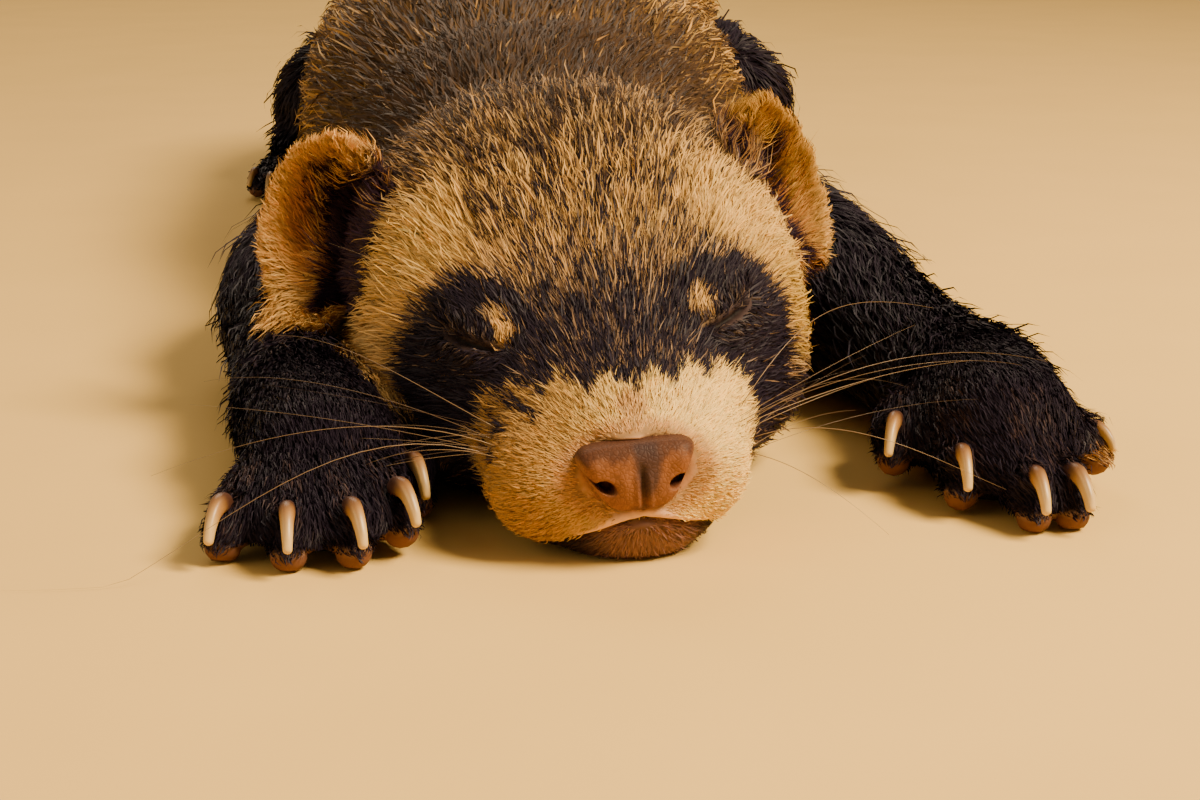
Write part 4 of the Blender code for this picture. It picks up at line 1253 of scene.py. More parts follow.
@dataclass
class Coat:
    """One piece of the coat: tufts scattered over a stretch of the skin."""

    name: str
    slot: str
    regions: tuple[Region, ...]
    count: int
    width: float
    seed: int
    stations: int = 4
    length: float = 1.0
    lift: float = 1.0
    ruffle: float = 0.22
    clump: float = 0.45
    clump_size: int = 14
    kinship: float = 0.55
    shadow: float = 0.62
    pale_root: float = 0.0
    longest_step: float = 1.6
    tuck: float = 0.5
    wisps: float = 0.05
    wisp_length: float = 1.3
    wisp_height: float = 1.75
    stray: float = 0.03
    pick: Callable[[Array], Array] | None = None

    def build(self, skin: Skin, tree: KDTree) -> bpy.types.Object:
        """Scatter, comb and shape the tufts, and join them into one mesh.

        Args:
            skin: The skin they grow from.
            tree: A search tree over the skin's points.

        Returns:
            The finished piece.
        """
        rng = np.random.default_rng(self.seed)
        roots = self.scatter(skin, rng)
        length = roots.length * self.length * rng.uniform(0.72, 1.2, self.count) * MM
        height = roots.reach * self.lift * rng.uniform(0.45, 1.12, self.count) * MM
        wisp = rng.random(self.count) < self.wisps
        length = np.where(wisp, length * self.wisp_length, length)
        height = np.where(wisp, height * self.wisp_height, height)
        curves = self.walk(roots, length, height, skin, tree, rng)
        curves, follow = self.gather(curves, rng)
        colours = self.colour(roots, follow, rng)
        piece = self.mesh(curves, roots, colours, rng)
        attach(piece, BODY)
        LOG.info("%s: %d tufts", self.name, self.count)
        return piece

    def scatter(self, skin: Skin, rng: np.random.Generator) -> Roots:
        """Choose the tufts' roots evenly over this coat's stretch of the skin.

        Args:
            skin: The skin they grow from.
            rng: The source of chance.

        Returns:
            The roots.
        """
        mesh = skin.piece.data
        mesh.calc_loop_triangles()
        triangles = np.empty(len(mesh.loop_triangles) * 3, np.int64)
        mesh.loop_triangles.foreach_get("vertices", triangles)
        triangles = triangles.reshape(-1, 3)
        points, normals = points_of(mesh), normals_of(mesh)
        chosen = np.isin(skin.regions[triangles[:, 0]], [region.value for region in self.regions])
        if self.pick:
            chosen &= self.pick(HEAD.inside(points[triangles].mean(axis=1)))
        triangles = triangles[chosen]
        corners = points[triangles]
        area = np.linalg.norm(
            np.cross(corners[:, 1] - corners[:, 0], corners[:, 2] - corners[:, 0]), axis=1)
        weight = np.cumsum(area * skin.density[triangles].mean(axis=1))
        draws = (np.arange(self.count) + rng.random(self.count)) / self.count * weight[-1]
        picked = np.minimum(np.searchsorted(weight, draws), len(triangles) - 1)
        shares = rng.random((self.count, 2))
        folded = shares.sum(axis=1) > 1
        shares[folded] = 1 - shares[folded]
        shares = np.column_stack((1 - shares.sum(axis=1), shares))
        rows = triangles[picked]

        def read(values: Array) -> Array:
            """Return a field's values at the roots."""
            return np.einsum("nk,nk...->n...", shares, values[rows])

        flat = self.unwrap(points, triangles)
        seats = np.einsum("nk,nkd->nd", shares, flat[picked])
        return Roots(read(points), unit(read(normals)), unit(read(skin.lie)), read(skin.reach),
                     read(skin.length), skin.regions[rows[:, 0]], seats)

    def unwrap(self, points: Array, triangles: Array) -> Array:
        """Unwrap the skin's own shape under this coat.

        Args:
            points: The skin's points.
            triangles: The triangles of this coat's stretch.

        Returns:
            The three places of each triangle on the unwrap.
        """
        used, index = np.unique(triangles, return_inverse=True)
        flat = bpy.data.meshes.new("unwrap")
        flat.from_pydata(points[used].tolist(), [], index.reshape(-1, 3).tolist())
        helper = bpy.data.objects.new("unwrap", flat)
        bpy.context.scene.collection.objects.link(helper)
        make_active(helper)
        bpy.ops.object.mode_set(mode="EDIT")
        bpy.ops.mesh.select_all(action="SELECT")
        bpy.ops.uv.smart_project(angle_limit=math.radians(66), island_margin=0.002)
        bpy.ops.object.mode_set(mode="OBJECT")
        places = np.empty(len(triangles) * 6)
        flat.uv_layers.active.data.foreach_get("uv", places)
        bpy.data.objects.remove(helper)
        bpy.data.meshes.remove(flat)
        return places.reshape(-1, 3, 2)

    def walk(self, roots: Roots, length: Array, height: Array, skin: Skin, tree: KDTree,
             rng: np.random.Generator) -> Array:
        """Lay each tuft along the skin, rising from its root to its height.

        Args:
            roots: The places the tufts grow from.
            length: Each tuft's length.
            height: How high each tuft's tip stands.
            skin: The skin.
            tree: A search tree over its points.
            rng: The source of chance.

        Returns:
            Each tuft's stations, as places.
        """
        points, normals = points_of(skin.piece.data), normals_of(skin.piece.data)
        beside = np.cross(roots.normals, roots.lie)
        sway = rng.normal(0.0, self.ruffle, self.count)
        way = unit(roots.lie + beside * sway[:, None])
        curves = [roots.places - roots.normals * 0.25 * MM]
        steps = self.stations - 1
        crossed = np.zeros(self.count, bool)
        here = roots.places
        for index in range(1, self.stations):
            share = index / steps
            here = here + way * (length / steps)[:, None]
            found = np.array([tree.find(place)[1] for place in here])
            crossed |= np.isin(skin.regions[found], LIMB_LIKE)
            up, ground = normals[found], points[found]
            level = ((here - ground) * up).sum(axis=1)
            aim = height * (1 - (1 - share) ** 2.2)
            lifted = here + up * (aim - level)[:, None]
            stride = lifted - curves[-1]
            excess = np.linalg.norm(stride, axis=1) / (self.longest_step * length / steps)
            lifted = curves[-1] + stride / np.maximum(excess, 1.0)[:, None]
            curves.append(lifted)
            here = lifted
            turned = skin.lie[found] + np.cross(up, skin.lie[found]) * sway[:, None]
            way = unit(turned)
        curves = np.stack(curves, axis=1)
        crossed &= np.isin(roots.regions, TRUNK_LIKE)
        curves[crossed] = curves[crossed, :1] + (curves[crossed] - curves[crossed, :1]) * self.tuck
        curves[:, :, 2] = np.maximum(curves[:, :, 2], 0.2 * MM)
        return curves

    def gather(self, curves: Array, rng: np.random.Generator) -> tuple[Array, Array]:
        """Draw the tips of neighbouring tufts together.

        Args:
            curves: Each tuft's stations.
            rng: The source of chance.

        Returns:
            The gathered stations, and the tuft that each one follows.
        """
        leaders = rng.choice(self.count, max(self.count // self.clump_size, 1), replace=False)
        near = KDTree(len(leaders))
        for index, leader in enumerate(leaders):
            near.insert(curves[leader, 0], index)
        near.balance()
        follow = leaders[np.array([near.find(root)[1] for root in curves[:, 0]])]
        shares = np.linspace(0, 1, self.stations)[None, :, None] ** 1.6
        pull = self.clump * rng.uniform(0.4, 1.0, self.count)[:, None, None] * shares
        return curves + (curves[follow] - curves) * pull, follow

    def colour(self, roots: Roots, follow: Array, rng: np.random.Generator) -> Array:
        """Return each station's colour, read from the markings at the tuft's root.

        Args:
            roots: The places the tufts grow from.
            follow: The tuft that each one follows.
            rng: The source of chance.

        Returns:
            Colours by tuft and station.
        """
        pale, deep, dark = MARKINGS.at(roots.places, roots.regions, roots.normals)
        own = rng.uniform(-0.5, 0.5, self.count)
        draw = self.kinship * own[follow] + (1 - self.kinship) * rng.uniform(-0.5, 0.5, self.count)
        mixed = 4 * dark * (1 - dark)
        amount = ease(-0.2, 0.2, dark - 0.5 + draw * 1.1 * mixed)
        stray = rng.random(self.count) < self.stray * (0.3 + mixed)
        amount = np.where(stray, mix1(amount, 1 - amount, 0.5), amount)
        glow = rng.normal(0.0, 1.0, self.count)
        glow = 0.6 * glow[follow] + 0.6 * rng.normal(0.0, 1.0, self.count)
        bright = np.clip(1 + 0.13 * glow, 0.6, 1.4)[:, None]
        warm = np.column_stack((np.ones(self.count), 1 - 0.05 * glow, 1 - 0.12 * glow))
        tip = mix(pale * warm, deep, amount) * bright
        root = mix(pale * self.shadow * (1.0, 0.90, 0.74), deep * 0.8, amount * (1 - self.pale_root)) * bright
        shares = ease(0.1, 0.75, np.linspace(0, 1, self.stations))
        return root[:, None] * (1 - shares[None, :, None]) + tip[:, None] * shares[None, :, None]

    def mesh(self, curves: Array, roots: Roots, colours: Array, rng: np.random.Generator) -> bpy.types.Object:
        """Build the tufts' blades.

        Args:
            curves: Each tuft's stations.
            roots: The places the tufts grow from.
            colours: Each station's colour.
            rng: The source of chance.

        Returns:
            The joined blades.
        """
        steps = self.stations - 1
        along = unit(np.gradient(curves, axis=1))
        roll = rng.normal(0.0, 0.55, self.count)[:, None, None]
        side = unit(np.cross(along, roots.normals[:, None, :]))
        side = side * np.cos(roll) + np.cross(along, side) * np.sin(roll)
        taper = np.interp(np.linspace(0, 1, self.stations), (0, 0.3, 0.7, 1), (0.75, 1.0, 0.72, 0.0))
        width = self.width * MM * rng.uniform(0.65, 1.3, self.count)
        half = side * (width[:, None] * taper[None, :] / 2)[..., None]
        pairs = np.stack((curves[:, :-1] - half[:, :-1], curves[:, :-1] + half[:, :-1]), axis=2)
        places = np.concatenate((pairs.reshape(self.count, 2 * steps, 3), curves[:, -1:]), axis=1)
        tints = np.concatenate((np.repeat(colours[:, :-1], 2, axis=1), colours[:, -1:]), axis=1)
        size = 2 * steps + 1
        pattern, starts = [], []
        for index in range(steps - 1):
            starts.append(len(pattern))
            pattern += [2 * index, 2 * index + 1, 2 * index + 3, 2 * index + 2]
        starts.append(len(pattern))
        pattern += [2 * steps - 2, 2 * steps - 1, 2 * steps]
        corners = (np.arange(self.count)[:, None] * size + np.array(pattern)).ravel()
        first = (np.arange(self.count)[:, None] * len(pattern) + np.array(starts)).ravel()
        made = bpy.data.meshes.new(self.name)
        made.vertices.add(self.count * size)
        made.vertices.foreach_set("co", places.astype(np.float32).ravel())
        made.loops.add(len(corners))
        made.loops.foreach_set("vertex_index", corners.astype(np.int32))
        made.polygons.add(len(first))
        made.polygons.foreach_set("loop_start", first.astype(np.int32))
        made.update(calc_edges=True)
        made.shade_smooth()
        paint(made, tints.reshape(-1, 3))
        self.add_patches(made, roots.seats, corners, size, steps)
        made.materials.append(CoatFinish("hair_" + self.slot).material())
        piece = bpy.data.objects.new(self.name, made)
        bpy.context.scene.collection.objects.link(piece)
        return piece

    def add_patches(self, made: bpy.types.Mesh, seats: Array, corners: Array, size: int, steps: int) -> None:
        """Give each tuft a small patch at its root's place on the skin's unwrap.

        Args:
            made: The joined blades.
            seats: Each root's place on the unwrap.
            corners: The point of each face corner.
            size: The points of one blade.
            steps: The lengths of one blade.
        """
        reach = 0.0015
        rows = np.repeat(np.linspace(-reach, reach, steps + 1), 2)[:size]
        sides = np.tile((-reach, reach), steps + 1)[:size]
        sides[-1] = 0.0
        patch = np.column_stack((sides, rows))
        patch[-1, 1] = reach
        seats = np.clip(seats, 0.002, 0.998)
        places = (seats[:, None, :] + patch[None, :, :]).reshape(-1, 2)[corners]
        layer = made.uv_layers.new(name="OFBake")
        layer.data.foreach_set("uv", places.astype(np.float32).ravel())


@dataclass
class Nose:
    """The bare nose leather with its nostrils, in place of the nose pad's solid."""

    top_half: float = 6.7
    low_half: float = 3.2
    top: float = 3.3
    low: float = -3.7
    front: float = -1.4
    back: float = 3.6
    cuts: int = 47
    squareness: float = 4.4
    groove: float = 0.34
    nostrils: tuple[tuple[float, float], ...] = ((-3.45, -0.75), (3.9, -0.95))
    nostril_size: tuple[float, float] = (1.05, 0.66)
    nostril_tilt: float = math.radians(30)
    nostril_depth: float = 1.9
    tail_reach: float = 1.9

    def build(self) -> bpy.types.Object:
        """Model the nose and paint it."""
        deselect()
        bpy.ops.mesh.primitive_cube_add(size=2.0)
        piece = bpy.context.active_object
        piece.name = "nose_leather"
        bpy.ops.object.mode_set(mode="EDIT")
        bpy.ops.mesh.select_all(action="SELECT")
        bpy.ops.mesh.subdivide(number_cuts=self.cuts)
        bpy.ops.object.mode_set(mode="OBJECT")
        mesh = piece.data
        raw = points_of(mesh)
        round_raw = raw / (np.abs(raw) ** self.squareness).sum(axis=1, keepdims=True) ** (1 / self.squareness)
        local = np.empty_like(raw)
        local[:, 2] = (self.top + self.low) / 2 + (self.top - self.low) / 2 * round_raw[:, 2]
        width = self.low_half + (self.top_half - self.low_half) * (round_raw[:, 2] + 1) / 2
        local[:, 0] = width * round_raw[:, 0]
        local[:, 1] = (self.front + self.back) / 2 + (self.back - self.front) / 2 * round_raw[:, 1]
        flare = 1 + 0.085 * ease(-0.55, 0.5, round_raw[:, 1]) * (1 - 0.9 * ease(0.4, 0.9, round_raw[:, 2]))
        middle = (self.top + self.low) / 2
        local[:, 0] *= flare
        local[:, 2] = middle + (local[:, 2] - middle) * flare
        face = ease(-0.35, -0.8, round_raw[:, 1])
        holes, tails = self.openings(local)
        across, up = local[:, 0], local[:, 2]
        rise = 0.28 * np.exp(-(((np.abs(across) - 1.5) / 0.9) ** 2) - ((up + 0.6) / 1.6) ** 2)
        rise += 0.30 * np.exp(-(((np.abs(across) - 4.6) / 0.9) ** 2) - ((up - 0.9) / 1.6) ** 2)
        groove = np.exp(-(((across - 0.25) / 0.30) ** 2)) * (1 - ease(0.2, 1.9, up))
        rise += 0.24 * np.exp(-(((np.hypot(across - 0.25, 0) - 0.62) / 0.3) ** 2)) * (1 - ease(-0.4, 1.2, up))
        rise -= self.groove * groove
        rise -= 0.25 * ease(1.2, 3.0, up)
        local[:, 1] -= (rise - self.nostril_depth * holes - 0.75 * tails) * face
        set_points(mesh, HEAD.outside(local))
        mesh.shade_smooth()
        paint(mesh, self.tints(local, holes, tails, groove, face))
        mesh.materials.append(NoseFinish("nose_leather").material())
        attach(piece, BODY)
        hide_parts("nose_pad")
        LOG.info("%s: %d faces", piece.name, len(mesh.polygons))
        return piece

    def openings(self, local: Array) -> tuple[Array, Array]:
        """Return how far each point lies in a nostril and in the slit that trails from it.

        Args:
            local: The nose's points in the head's frame.

        Returns:
            Shares of the nostrils and of their slits.
        """
        holes, tails = np.zeros(len(local)), np.zeros(len(local))
        for across, up in self.nostrils:
            side = math.copysign(1.0, across)
            away = np.stack(((local[:, 0] - across) * side, local[:, 2] - up), axis=1)
            turn = np.array(((math.cos(self.nostril_tilt), math.sin(self.nostril_tilt)),
                             (-math.sin(self.nostril_tilt), math.cos(self.nostril_tilt))))
            seat = (away @ turn.T) / np.array(self.nostril_size)
            holes = np.maximum(holes, 1 - ease(0.55, 1.15, np.linalg.norm(seat, axis=1)))
            bend = away[:, 1] - 0.05 - 0.62 * (away[:, 0] - 0.6) - 0.14 * (away[:, 0] - 0.6) ** 2
            run = ease(0.2, 0.7, away[:, 0]) * (1 - ease(self.tail_reach - 0.5, self.tail_reach + 0.3, away[:, 0]))
            tails = np.maximum(tails, np.exp(-((bend / 0.24) ** 2)) * run)
        return holes, tails

    def tints(self, local: Array, holes: Array, tails: Array, groove: Array, face: Array) -> Array:
        """Return the nose's colours, point by point.

        Args:
            local: The nose's points in the head's frame.
            holes: How far each point lies in a nostril.
            tails: How far it lies in a nostril's slit.
            groove: How far it lies in the middle groove.
            face: How far it lies on the front.

        Returns:
            The colours.
        """
        wobble = ripple(local, 1.1)
        fine = ripple(local, 0.33)
        across, up = local[:, 0], local[:, 2]
        colours = np.tile(np.array((0.205, 0.077, 0.029)), (len(local), 1)) * (1 + 0.07 * fine + 0.08 * wobble)[:, None]
        rim = ease(1.5, 2.8, up + 0.40 * wobble + 0.2 * fine + 0.06 * np.abs(across))
        colours = mix(colours, np.array((0.062, 0.024, 0.014)), 0.90 * rim)
        band = ease(1.75, 0.75, np.abs(across - 0.85 - 0.2 * wobble)) * ease(-3.2, -0.4, up + 0.5 * wobble)
        colours = mix(colours, np.array((0.044, 0.025, 0.024)), 0.88 * band)
        lower = 1 - ease(-3.45, -2.7, up + 0.25 * wobble)
        colours = mix(colours, np.array((0.11, 0.045, 0.035)), 0.8 * lower)
        side_rim = ease(0.86, 1.0, np.abs(across) / (self.low_half + (self.top_half - self.low_half) * (
            up - self.low) / (self.top - self.low)))
        colours = mix(colours, np.array((0.16, 0.062, 0.036)), 0.6 * side_rim * (across > 0))
        # Painted shade: the colour is darkened in the middle groove
        colours = mix(colours, colours * 0.55, np.clip(groove, 0, 1) * 0.7)
        behind = mix(BARE_TAN * 0.6, np.array((0.085, 0.034, 0.019)), ease(1.6, 2.6, up))
        colours = mix(colours, behind, 0.75 * (1 - face))
        # Painted shade: the nostrils and their slits are painted near black inside the openings
        nostril_shade = np.clip(np.maximum(holes * 1.3, tails * 1.1), 0, 1)
        return mix(colours, np.array((0.040, 0.008, 0.006)), nostril_shade)


@dataclass
class Claws:
    """The claws, each in place of its solid."""

    line: tuple[tuple[float, float], ...] = (
        (-0.9, 2.3), (0.3, 3.25), (1.7, 3.5), (3.2, 2.85), (4.4, 1.6), (5.05, 0.1))
    radii: tuple[float, ...] = (0.84, 1.08, 1.05, 0.86, 0.71, 0.58)
    square: float = 2.6
    blunt: float = 0.42
    shorter: tuple[str, ...] = ("fore_left_5",)
    shortening: float = 0.74
    segments: int = 16
    rings: int = 26
    flatness: float = 0.80
    base_tint: Colour = (0.060, 0.024, 0.014)
    horn_tint: Colour = (0.33, 0.165, 0.050)
    tip_tint: Colour = (0.62, 0.43, 0.17)

    def build(self) -> None:
        """Model every claw."""
        for toe in TOES:
            self.add_claw(toe)
        LOG.info("claws: %d", len(TOES))

    def add_claw(self, toe: Toe) -> None:
        """Model one claw along its line and paint it.

        Args:
            toe: The toe it grows from.
        """
        deselect()
        bpy.ops.mesh.primitive_uv_sphere_add(segments=self.segments, ring_count=self.rings, radius=1.0)
        piece = bpy.context.active_object
        piece.name = "horn_" + toe.name
        mesh = piece.data
        raw = points_of(mesh)
        share = (1 + raw[:, 2]) / 2
        line = np.array(self.line)
        stations = np.concatenate(((0.0,), np.cumsum(np.linalg.norm(np.diff(line, axis=0), axis=1))))
        total = stations[-1]
        reach = share * total
        fine = np.linspace(0, total, 60)
        smooth_line = np.stack([np.interp(fine, stations, line[:, axis]) for axis in range(2)], axis=1)
        for _ in range(14):
            smooth_line[1:-1] = (smooth_line[:-2] + 2 * smooth_line[1:-1] + smooth_line[2:]) / 4
        middle = np.stack([np.interp(reach, fine, smooth_line[:, axis]) for axis in range(2)], axis=1)
        slope = unit(np.gradient(smooth_line, axis=0))
        forward = unit(np.stack([np.interp(reach, fine, slope[:, axis]) for axis in range(2)], axis=1))
        radius = np.interp(reach, stations, self.radii)
        tip_round = np.sqrt(np.clip(1 - ((reach - (total - self.blunt)) / self.blunt).clip(0, 1) ** 2, 0, 1))
        base_round = np.sqrt(np.clip(1 - ((0.5 - reach) / 0.5).clip(0, 1) ** 2, 0, 1))
        radius = radius * tip_round * base_round
        ring = unit(raw[:, :2] + 1e-9)
        ring = ring / (np.abs(ring) ** self.square).sum(axis=1, keepdims=True) ** (1 / self.square)
        sideways = ring[:, 0] * radius * self.flatness
        upwards = ring[:, 1] * radius * np.where(ring[:, 1] > 0, 1.08, 0.92)
        along = middle[:, 0] - forward[:, 1] * upwards
        height = middle[:, 1] + forward[:, 0] * upwards
        beside = np.array((toe.way[1], -toe.way[0], 0.0))
        up = np.array((0.0, 0.0, 1.0))
        points = (along[:, None] * toe.way + height[:, None] * up + sideways[:, None] * beside)
        size = toe.share * (self.shortening if toe.name in self.shorter else 1.0)
        points = toe.tip + points * size * MM
        points[:, 2] = np.maximum(points[:, 2], 0.2 * MM)
        set_points(mesh, points)
        self.face_outward(piece)
        mesh.shade_smooth()
        run = reach / total
        colours = mix(np.array(self.base_tint), np.array(self.horn_tint), ease(0.26, 0.50, run - 0.05 * ring[:, 1]))
        colours = mix(colours, np.array(self.tip_tint), ease(0.45, 0.80, run + 0.06 * ring[:, 0]))
        core = np.exp(-((ring[:, 0] - 0.3) / 0.35) ** 2) * (1 - ease(0.75, 0.95, run)) * ease(0.3, 0.5, run)
        colours = mix(colours, np.array(self.base_tint) * 1.6, 0.6 * core)
        paint(mesh, colours)
        mesh.materials.append(ClawFinish("ridged_horn").material())
        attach(piece, BODY)
        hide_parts("claw_" + toe.name)

    def face_outward(self, piece: bpy.types.Object) -> None:
        """Turn the piece's faces outward."""
        make_active(piece)
        bpy.ops.object.mode_set(mode="EDIT")
        bpy.ops.mesh.select_all(action="SELECT")
        bpy.ops.mesh.normals_make_consistent(inside=False)
        bpy.ops.object.mode_set(mode="OBJECT")


@dataclass
class Whiskers:
    """The whiskers of the muzzle and the brow, as thin tapered tubes."""

    base: float = 0.048
    tip: float = 0.012
    sides: int = 5
    stations: int = 20
    seed: int = 31
    placed: tuple[tuple[tuple[float, float, float], ...], ...] = (
        ((-13.0, 9.5, 0.5), (-32.0, 6.0, 3.0), (-45.0, 3.0, -2.0), (-66.0, 2.0, -9.4)),
        ((-13.0, 10.5, 2.0), (-24.0, 14.0, 7.0), (-34.0, 20.0, 9.0), (-44.0, 28.0, 8.0)),
        ((-13.2, 8.0, 2.2), (-24.0, 9.0, 5.5), (-36.0, 12.0, 5.0), (-50.0, 17.0, 1.0)),
        ((-13.0, 11.5, 3.2), (-22.0, 17.0, 8.5), (-29.0, 25.0, 11.0), (-36.0, 34.0, 11.0)),
        ((13.0, 11.0, 3.0), (24.0, 20.0, 9.5), (28.7, 24.0, 9.5), (39.0, 28.0, 7.0)),
        ((13.0, 9.0, 1.5), (24.0, 11.0, 5.0), (36.0, 15.0, 5.0), (50.0, 21.0, 1.0)),
        ((13.0, 8.0, 0.0), (22.0, 6.0, 0.5), (31.0, 5.0, -3.0), (40.0, 6.0, -8.4)),
        ((12.6, 7.0, -1.2), (18.0, 2.0, -3.0), (22.0, -1.0, -6.0), (25.0, -2.0, -9.0)),
    )
    near: tuple[float, float, float] = (12.6, 9.0, 0.8)
    spread: tuple[float, float, float] = (1.2, 3.0, 2.2)
    extra: int = 9
    brow: int = 3
    dark_tint: Colour = (0.05, 0.028, 0.018)
    pale_tint: Colour = (0.36, 0.24, 0.13)

    def build(self) -> bpy.types.Object:
        """Lay out and model every whisker as one joined piece."""
        rng = np.random.default_rng(self.seed)
        lines = [np.array(line) for line in self.placed]
        thick = [1.0] * len(lines)
        for side in (-1, 1):
            for _ in range(self.extra):
                lines.append(self.drawn(side, rng))
                thick.append(rng.uniform(0.45, 0.85))
            for index in range(self.brow):
                lines.append(self.brow_line(side, index, rng))
                thick.append(0.6)
        places, faces, tints = [], [], []
        for line, share in zip(lines, thick):
            tint = mix(np.array(self.dark_tint), np.array(self.pale_tint), rng.uniform(0.0, 0.75))
            self.add_tube(self.curve(line), share, tint, places, faces, tints)
        mesh = bpy.data.meshes.new("whiskers")
        points = np.concatenate(places)
        points[:, 2] = np.maximum(points[:, 2], 0.25 * MM)
        mesh.from_pydata(points.tolist(), [], faces)
        mesh.update()
        mesh.shade_smooth()
        paint(mesh, np.concatenate(tints))
        mesh.materials.append(WhiskerFinish("whisker_hair").material())
        piece = bpy.data.objects.new("whiskers", mesh)
        bpy.context.scene.collection.objects.link(piece)
        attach(piece, BODY)
        LOG.info("%s: %d", piece.name, len(lines))
        return piece

    def drawn(self, side: int, rng: np.random.Generator) -> Array:
        """Return one more whisker of the muzzle, with a place and a bend of its own.

        Args:
            side: -1 for the animal's right, 1 for its left.
            rng: The source of chance.

        Returns:
            Its control points in the head's frame.
        """
        root = np.array(self.near) + rng.uniform(-1, 1, 3) * self.spread
        way = np.array((1.0, rng.uniform(-0.15, 0.75), rng.uniform(-0.05, 0.55)))
        reach = rng.uniform(14.0, 38.0)
        bend = np.array((0.0, rng.uniform(0.1, 0.6), rng.uniform(-0.8, -0.25)))
        steps = np.linspace(0, 1, 4)[:, None]
        line = root + unit(way) * steps * reach + bend * steps**2 * reach * 0.5
        return line * (side, 1.0, 1.0)

    def brow_line(self, side: int, index: int, rng: np.random.Generator) -> Array:
        """Return one long hair above an eye."""
        root = np.array((14.0 + 1.3 * index, 25.0 + index, 15.0 - 0.8 * index))
        way = unit(np.array((0.75, 0.55 + 0.15 * index, 0.62 - 0.1 * index)) + rng.normal(0, 0.08, 3))
        reach = rng.uniform(11.0, 19.0)
        steps = np.linspace(0, 1, 4)[:, None]
        line = root + way * steps * reach + np.array((0.2, 0.5, -0.25)) * steps**2 * reach * 0.5
        return line * (side, 1.0, 1.0)

    def curve(self, line: Array) -> Array:
        """Return a smooth curve through control points, in the part's frame."""
        steps = np.linspace(0, 1, self.stations)
        marks = np.concatenate(((0.0,), np.cumsum(np.linalg.norm(np.diff(line, axis=0), axis=1))))
        marks = marks / marks[-1]
        powers = np.vander(marks, len(line))
        curve = np.vander(steps, len(line)) @ np.linalg.solve(powers, line)
        return HEAD.outside(curve)

    def add_tube(self, curve: Array, share: float, tint: Array, places: list[Array],
                 faces: list[tuple[int, ...]], tints: list[Array]) -> None:
        """Add one tapered tube along a curve.

        Args:
            curve: Its stations.
            share: Its thickness against the thickest.
            tint: Its colour.
            places: The points so far, which it adds to.
            faces: The faces so far, which it adds to.
            tints: The colours so far, which it adds to.
        """
        start = sum(len(rows) for rows in places)
        along = unit(np.gradient(curve, axis=0))
        beside = unit(np.cross(along, np.array((0.0, 0.0, 1.0))))
        above = np.cross(beside, along)
        radius = np.linspace(self.base, self.tip, len(curve)) * share * MM
        rings = []
        for index in range(self.sides):
            angle = math.tau * index / self.sides
            rings.append(curve + (beside * math.cos(angle) + above * math.sin(angle)) * radius[:, None])
        rings = np.stack(rings, axis=1)
        places.append(rings.reshape(-1, 3))
        tints.append(np.tile(tint, (len(curve) * self.sides, 1)))
        for row in range(len(curve) - 1):
            for index in range(self.sides):
                after = (index + 1) % self.sides
                low, high = start + row * self.sides, start + (row + 1) * self.sides
                faces.append((low + index, low + after, high + after, high + index))
        last = start + (len(curve) - 1) * self.sides
        faces.append(tuple(start + index for index in reversed(range(self.sides))))
        faces.append(tuple(last + index for index in range(self.sides)))


@dataclass
class Studio:
    """The floor, lights and camera."""

    camera_place: tuple[float, float, float] = (16.1 * MM, -414.3 * MM, 71.6 * MM)
    camera_drop: float = math.radians(14.3)
    lens: float = 64.62
    floor_size: float = 8.0
    floor_tint: Colour = (0.75, 0.495, 0.15)

    def build(self) -> None:
        """Set the floor, the lights and the camera."""
        self.add_floor()
        self.add_light("key", (0.50, -0.40, 0.60), 0.28, 19.0, (1.0, 0.77, 0.48))
        self.add_light("fill", (-0.70, -0.55, 0.40), 0.60, 2.2, (1.0, 0.80, 0.56))
        self.add_light("rim", (-0.15, 0.75, 0.75), 0.60, 4.5, (1.0, 0.82, 0.60))
        world = bpy.data.worlds.new("studio")
        world.use_nodes = True
        back = world.node_tree.nodes["Background"]
        back.inputs["Color"].default_value = (1.0, 0.82, 0.60, 1.0)
        back.inputs["Strength"].default_value = 0.25
        bpy.context.scene.world = world
        self.add_camera()

    def add_floor(self) -> None:
        """Add the plain pale floor."""
        deselect()
        bpy.ops.mesh.primitive_plane_add(size=self.floor_size, location=(0, 0, 0))
        floor = bpy.context.active_object
        floor.name = "floor"
        paint(floor.data, np.tile(np.array(self.floor_tint), (4, 1)))
        finish = Finish("pale_floor", roughness=0.85, specular=0.2, scale=30.0, strength=0.05)
        floor.data.materials.append(finish.material())

    def add_light(self, name: str, place: tuple[float, float, float], size: float, power: float,
                  tint: Colour) -> None:
        """Add a soft square light that points at the head.

        Args:
            name: The light's name.
            place: Where it stands.
            size: Its side.
            power: Its power in watts.
            tint: Its colour.
        """
        lamp = bpy.data.lights.new(name, "AREA")
        lamp.size = size
        lamp.energy = power
        lamp.color = tint
        made = bpy.data.objects.new(name, lamp)
        made.location = place
        aim = Vector((0.0, -0.12, 0.02)) - Vector(place)
        made.rotation_euler = aim.to_track_quat("-Z", "Y").to_euler()
        bpy.context.scene.collection.objects.link(made)

    def add_camera(self) -> None:
        """Add the camera at the photograph's viewing angle."""
        view = bpy.data.cameras.new("camera")
        view.lens = self.lens
        view.sensor_width = 36.0
        view.clip_start = 0.005
        made = bpy.data.objects.new("camera", view)
        made.location = self.camera_place
        made.rotation_euler = (math.radians(90) - self.camera_drop, 0.0, 0.0)
        bpy.context.scene.collection.objects.link(made)
        bpy.context.scene.camera = made


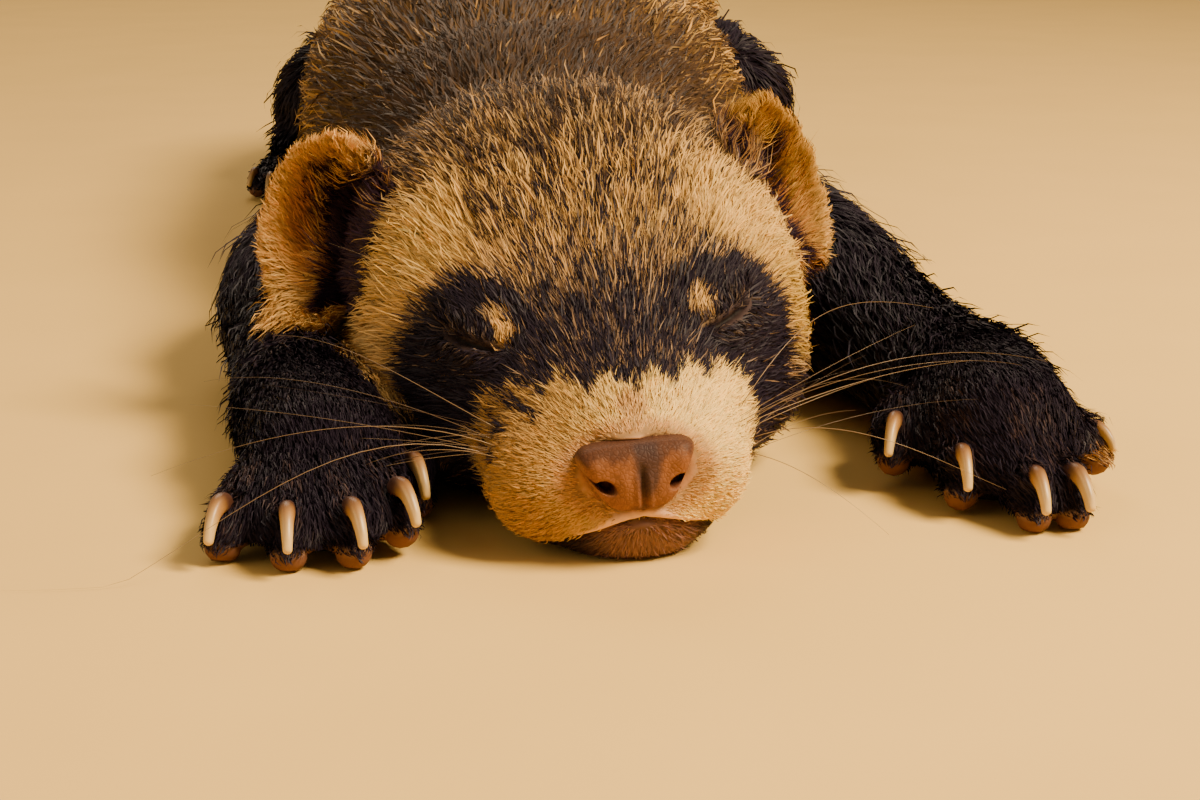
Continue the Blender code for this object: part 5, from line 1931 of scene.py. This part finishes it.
FACE = (Region.HEAD, Region.JAW, Region.LIDS)
COATS = (
    Coat("coat_muzzle", "cream_fur", FACE, 45000, 0.15, 11, stations=3, ruffle=0.2, clump=0.3,
         clump_size=8, pick=lambda local: local[:, 1] < 15),
    Coat("coat_mask", "sable_fur", FACE, 46000, 0.17, 12, stations=3, ruffle=0.2, clump=0.4,
         clump_size=9, pick=lambda local: (local[:, 1] >= 15) & (local[:, 1] < 32)),
    Coat("coat_crown", "agouti_fur", FACE, 36000, 0.185, 13, kinship=0.5, clump=0.6, clump_size=8,
         wisp_height=1.45, pick=lambda local: local[:, 1] >= 32),
    Coat("coat_ears", "cream_fur", (Region.EAR,), 38000, 0.17, 14, stations=3, ruffle=0.3, lift=1.5,
         clump=0.4, clump_size=9, stray=0.01),
    Coat("coat_neck", "agouti_fur", (Region.NECK,), 20000, 0.34, 15, kinship=0.2, clump_size=8,
         pale_root=0.5, wisps=0.03, wisp_length=1.1, wisp_height=1.1),
    Coat("coat_trunk_under", "agouti_fur", (Region.TRUNK,), 20000, 0.66, 16, length=0.72, lift=0.7,
         kinship=0.2, clump_size=8, pale_root=0.9, wisps=0.0),
    Coat("coat_trunk_guard", "agouti_fur", (Region.TRUNK,), 29000, 0.38, 17, length=1.15, clump=0.55,
         kinship=0.15, clump_size=7, pale_root=0.6, wisps=0.03, wisp_length=1.15, wisp_height=1.1),
    Coat("coat_rump", "agouti_fur", (Region.RUMP,), 26500, 0.48, 18, kinship=0.15, clump_size=7,
         pale_root=0.6, wisps=0.03, wisp_length=1.15, wisp_height=1.1),
    Coat("coat_tail", "sable_fur", (Region.TAIL,), 20000, 0.5, 19, length=1.1, wisp_length=1.05,
         wisp_height=1.15),
    Coat("coat_forelegs", "sable_fur", (Region.FORELEG,), 30000, 0.24, 20, length=1.3, clump=0.3,
         clump_size=9, ruffle=0.16),
    Coat("coat_forepaws", "sable_fur", (Region.FOREPAW,), 38000, 0.17, 21, stations=3, ruffle=0.18,
         clump=0.3, clump_size=8),
    Coat("coat_hindlegs", "sable_fur", (Region.HINDLEG, Region.HINDFOOT), 18000, 0.42, 22),
)


def main() -> None:
    """Build every piece and report it."""
    logging.basicConfig(level=logging.INFO, format="%(name)s %(message)s")
    skin = Skin()
    skin.build()
    tree = KDTree(len(skin.piece.data.vertices))
    for index, point in enumerate(points_of(skin.piece.data)):
        tree.insert(point, index)
    tree.balance()
    for coat in COATS:
        coat.build(skin, tree)
    Nose().build()
    Claws().build()
    Whiskers().build()
    Studio().build()


if __name__ == "__main__":
    main()
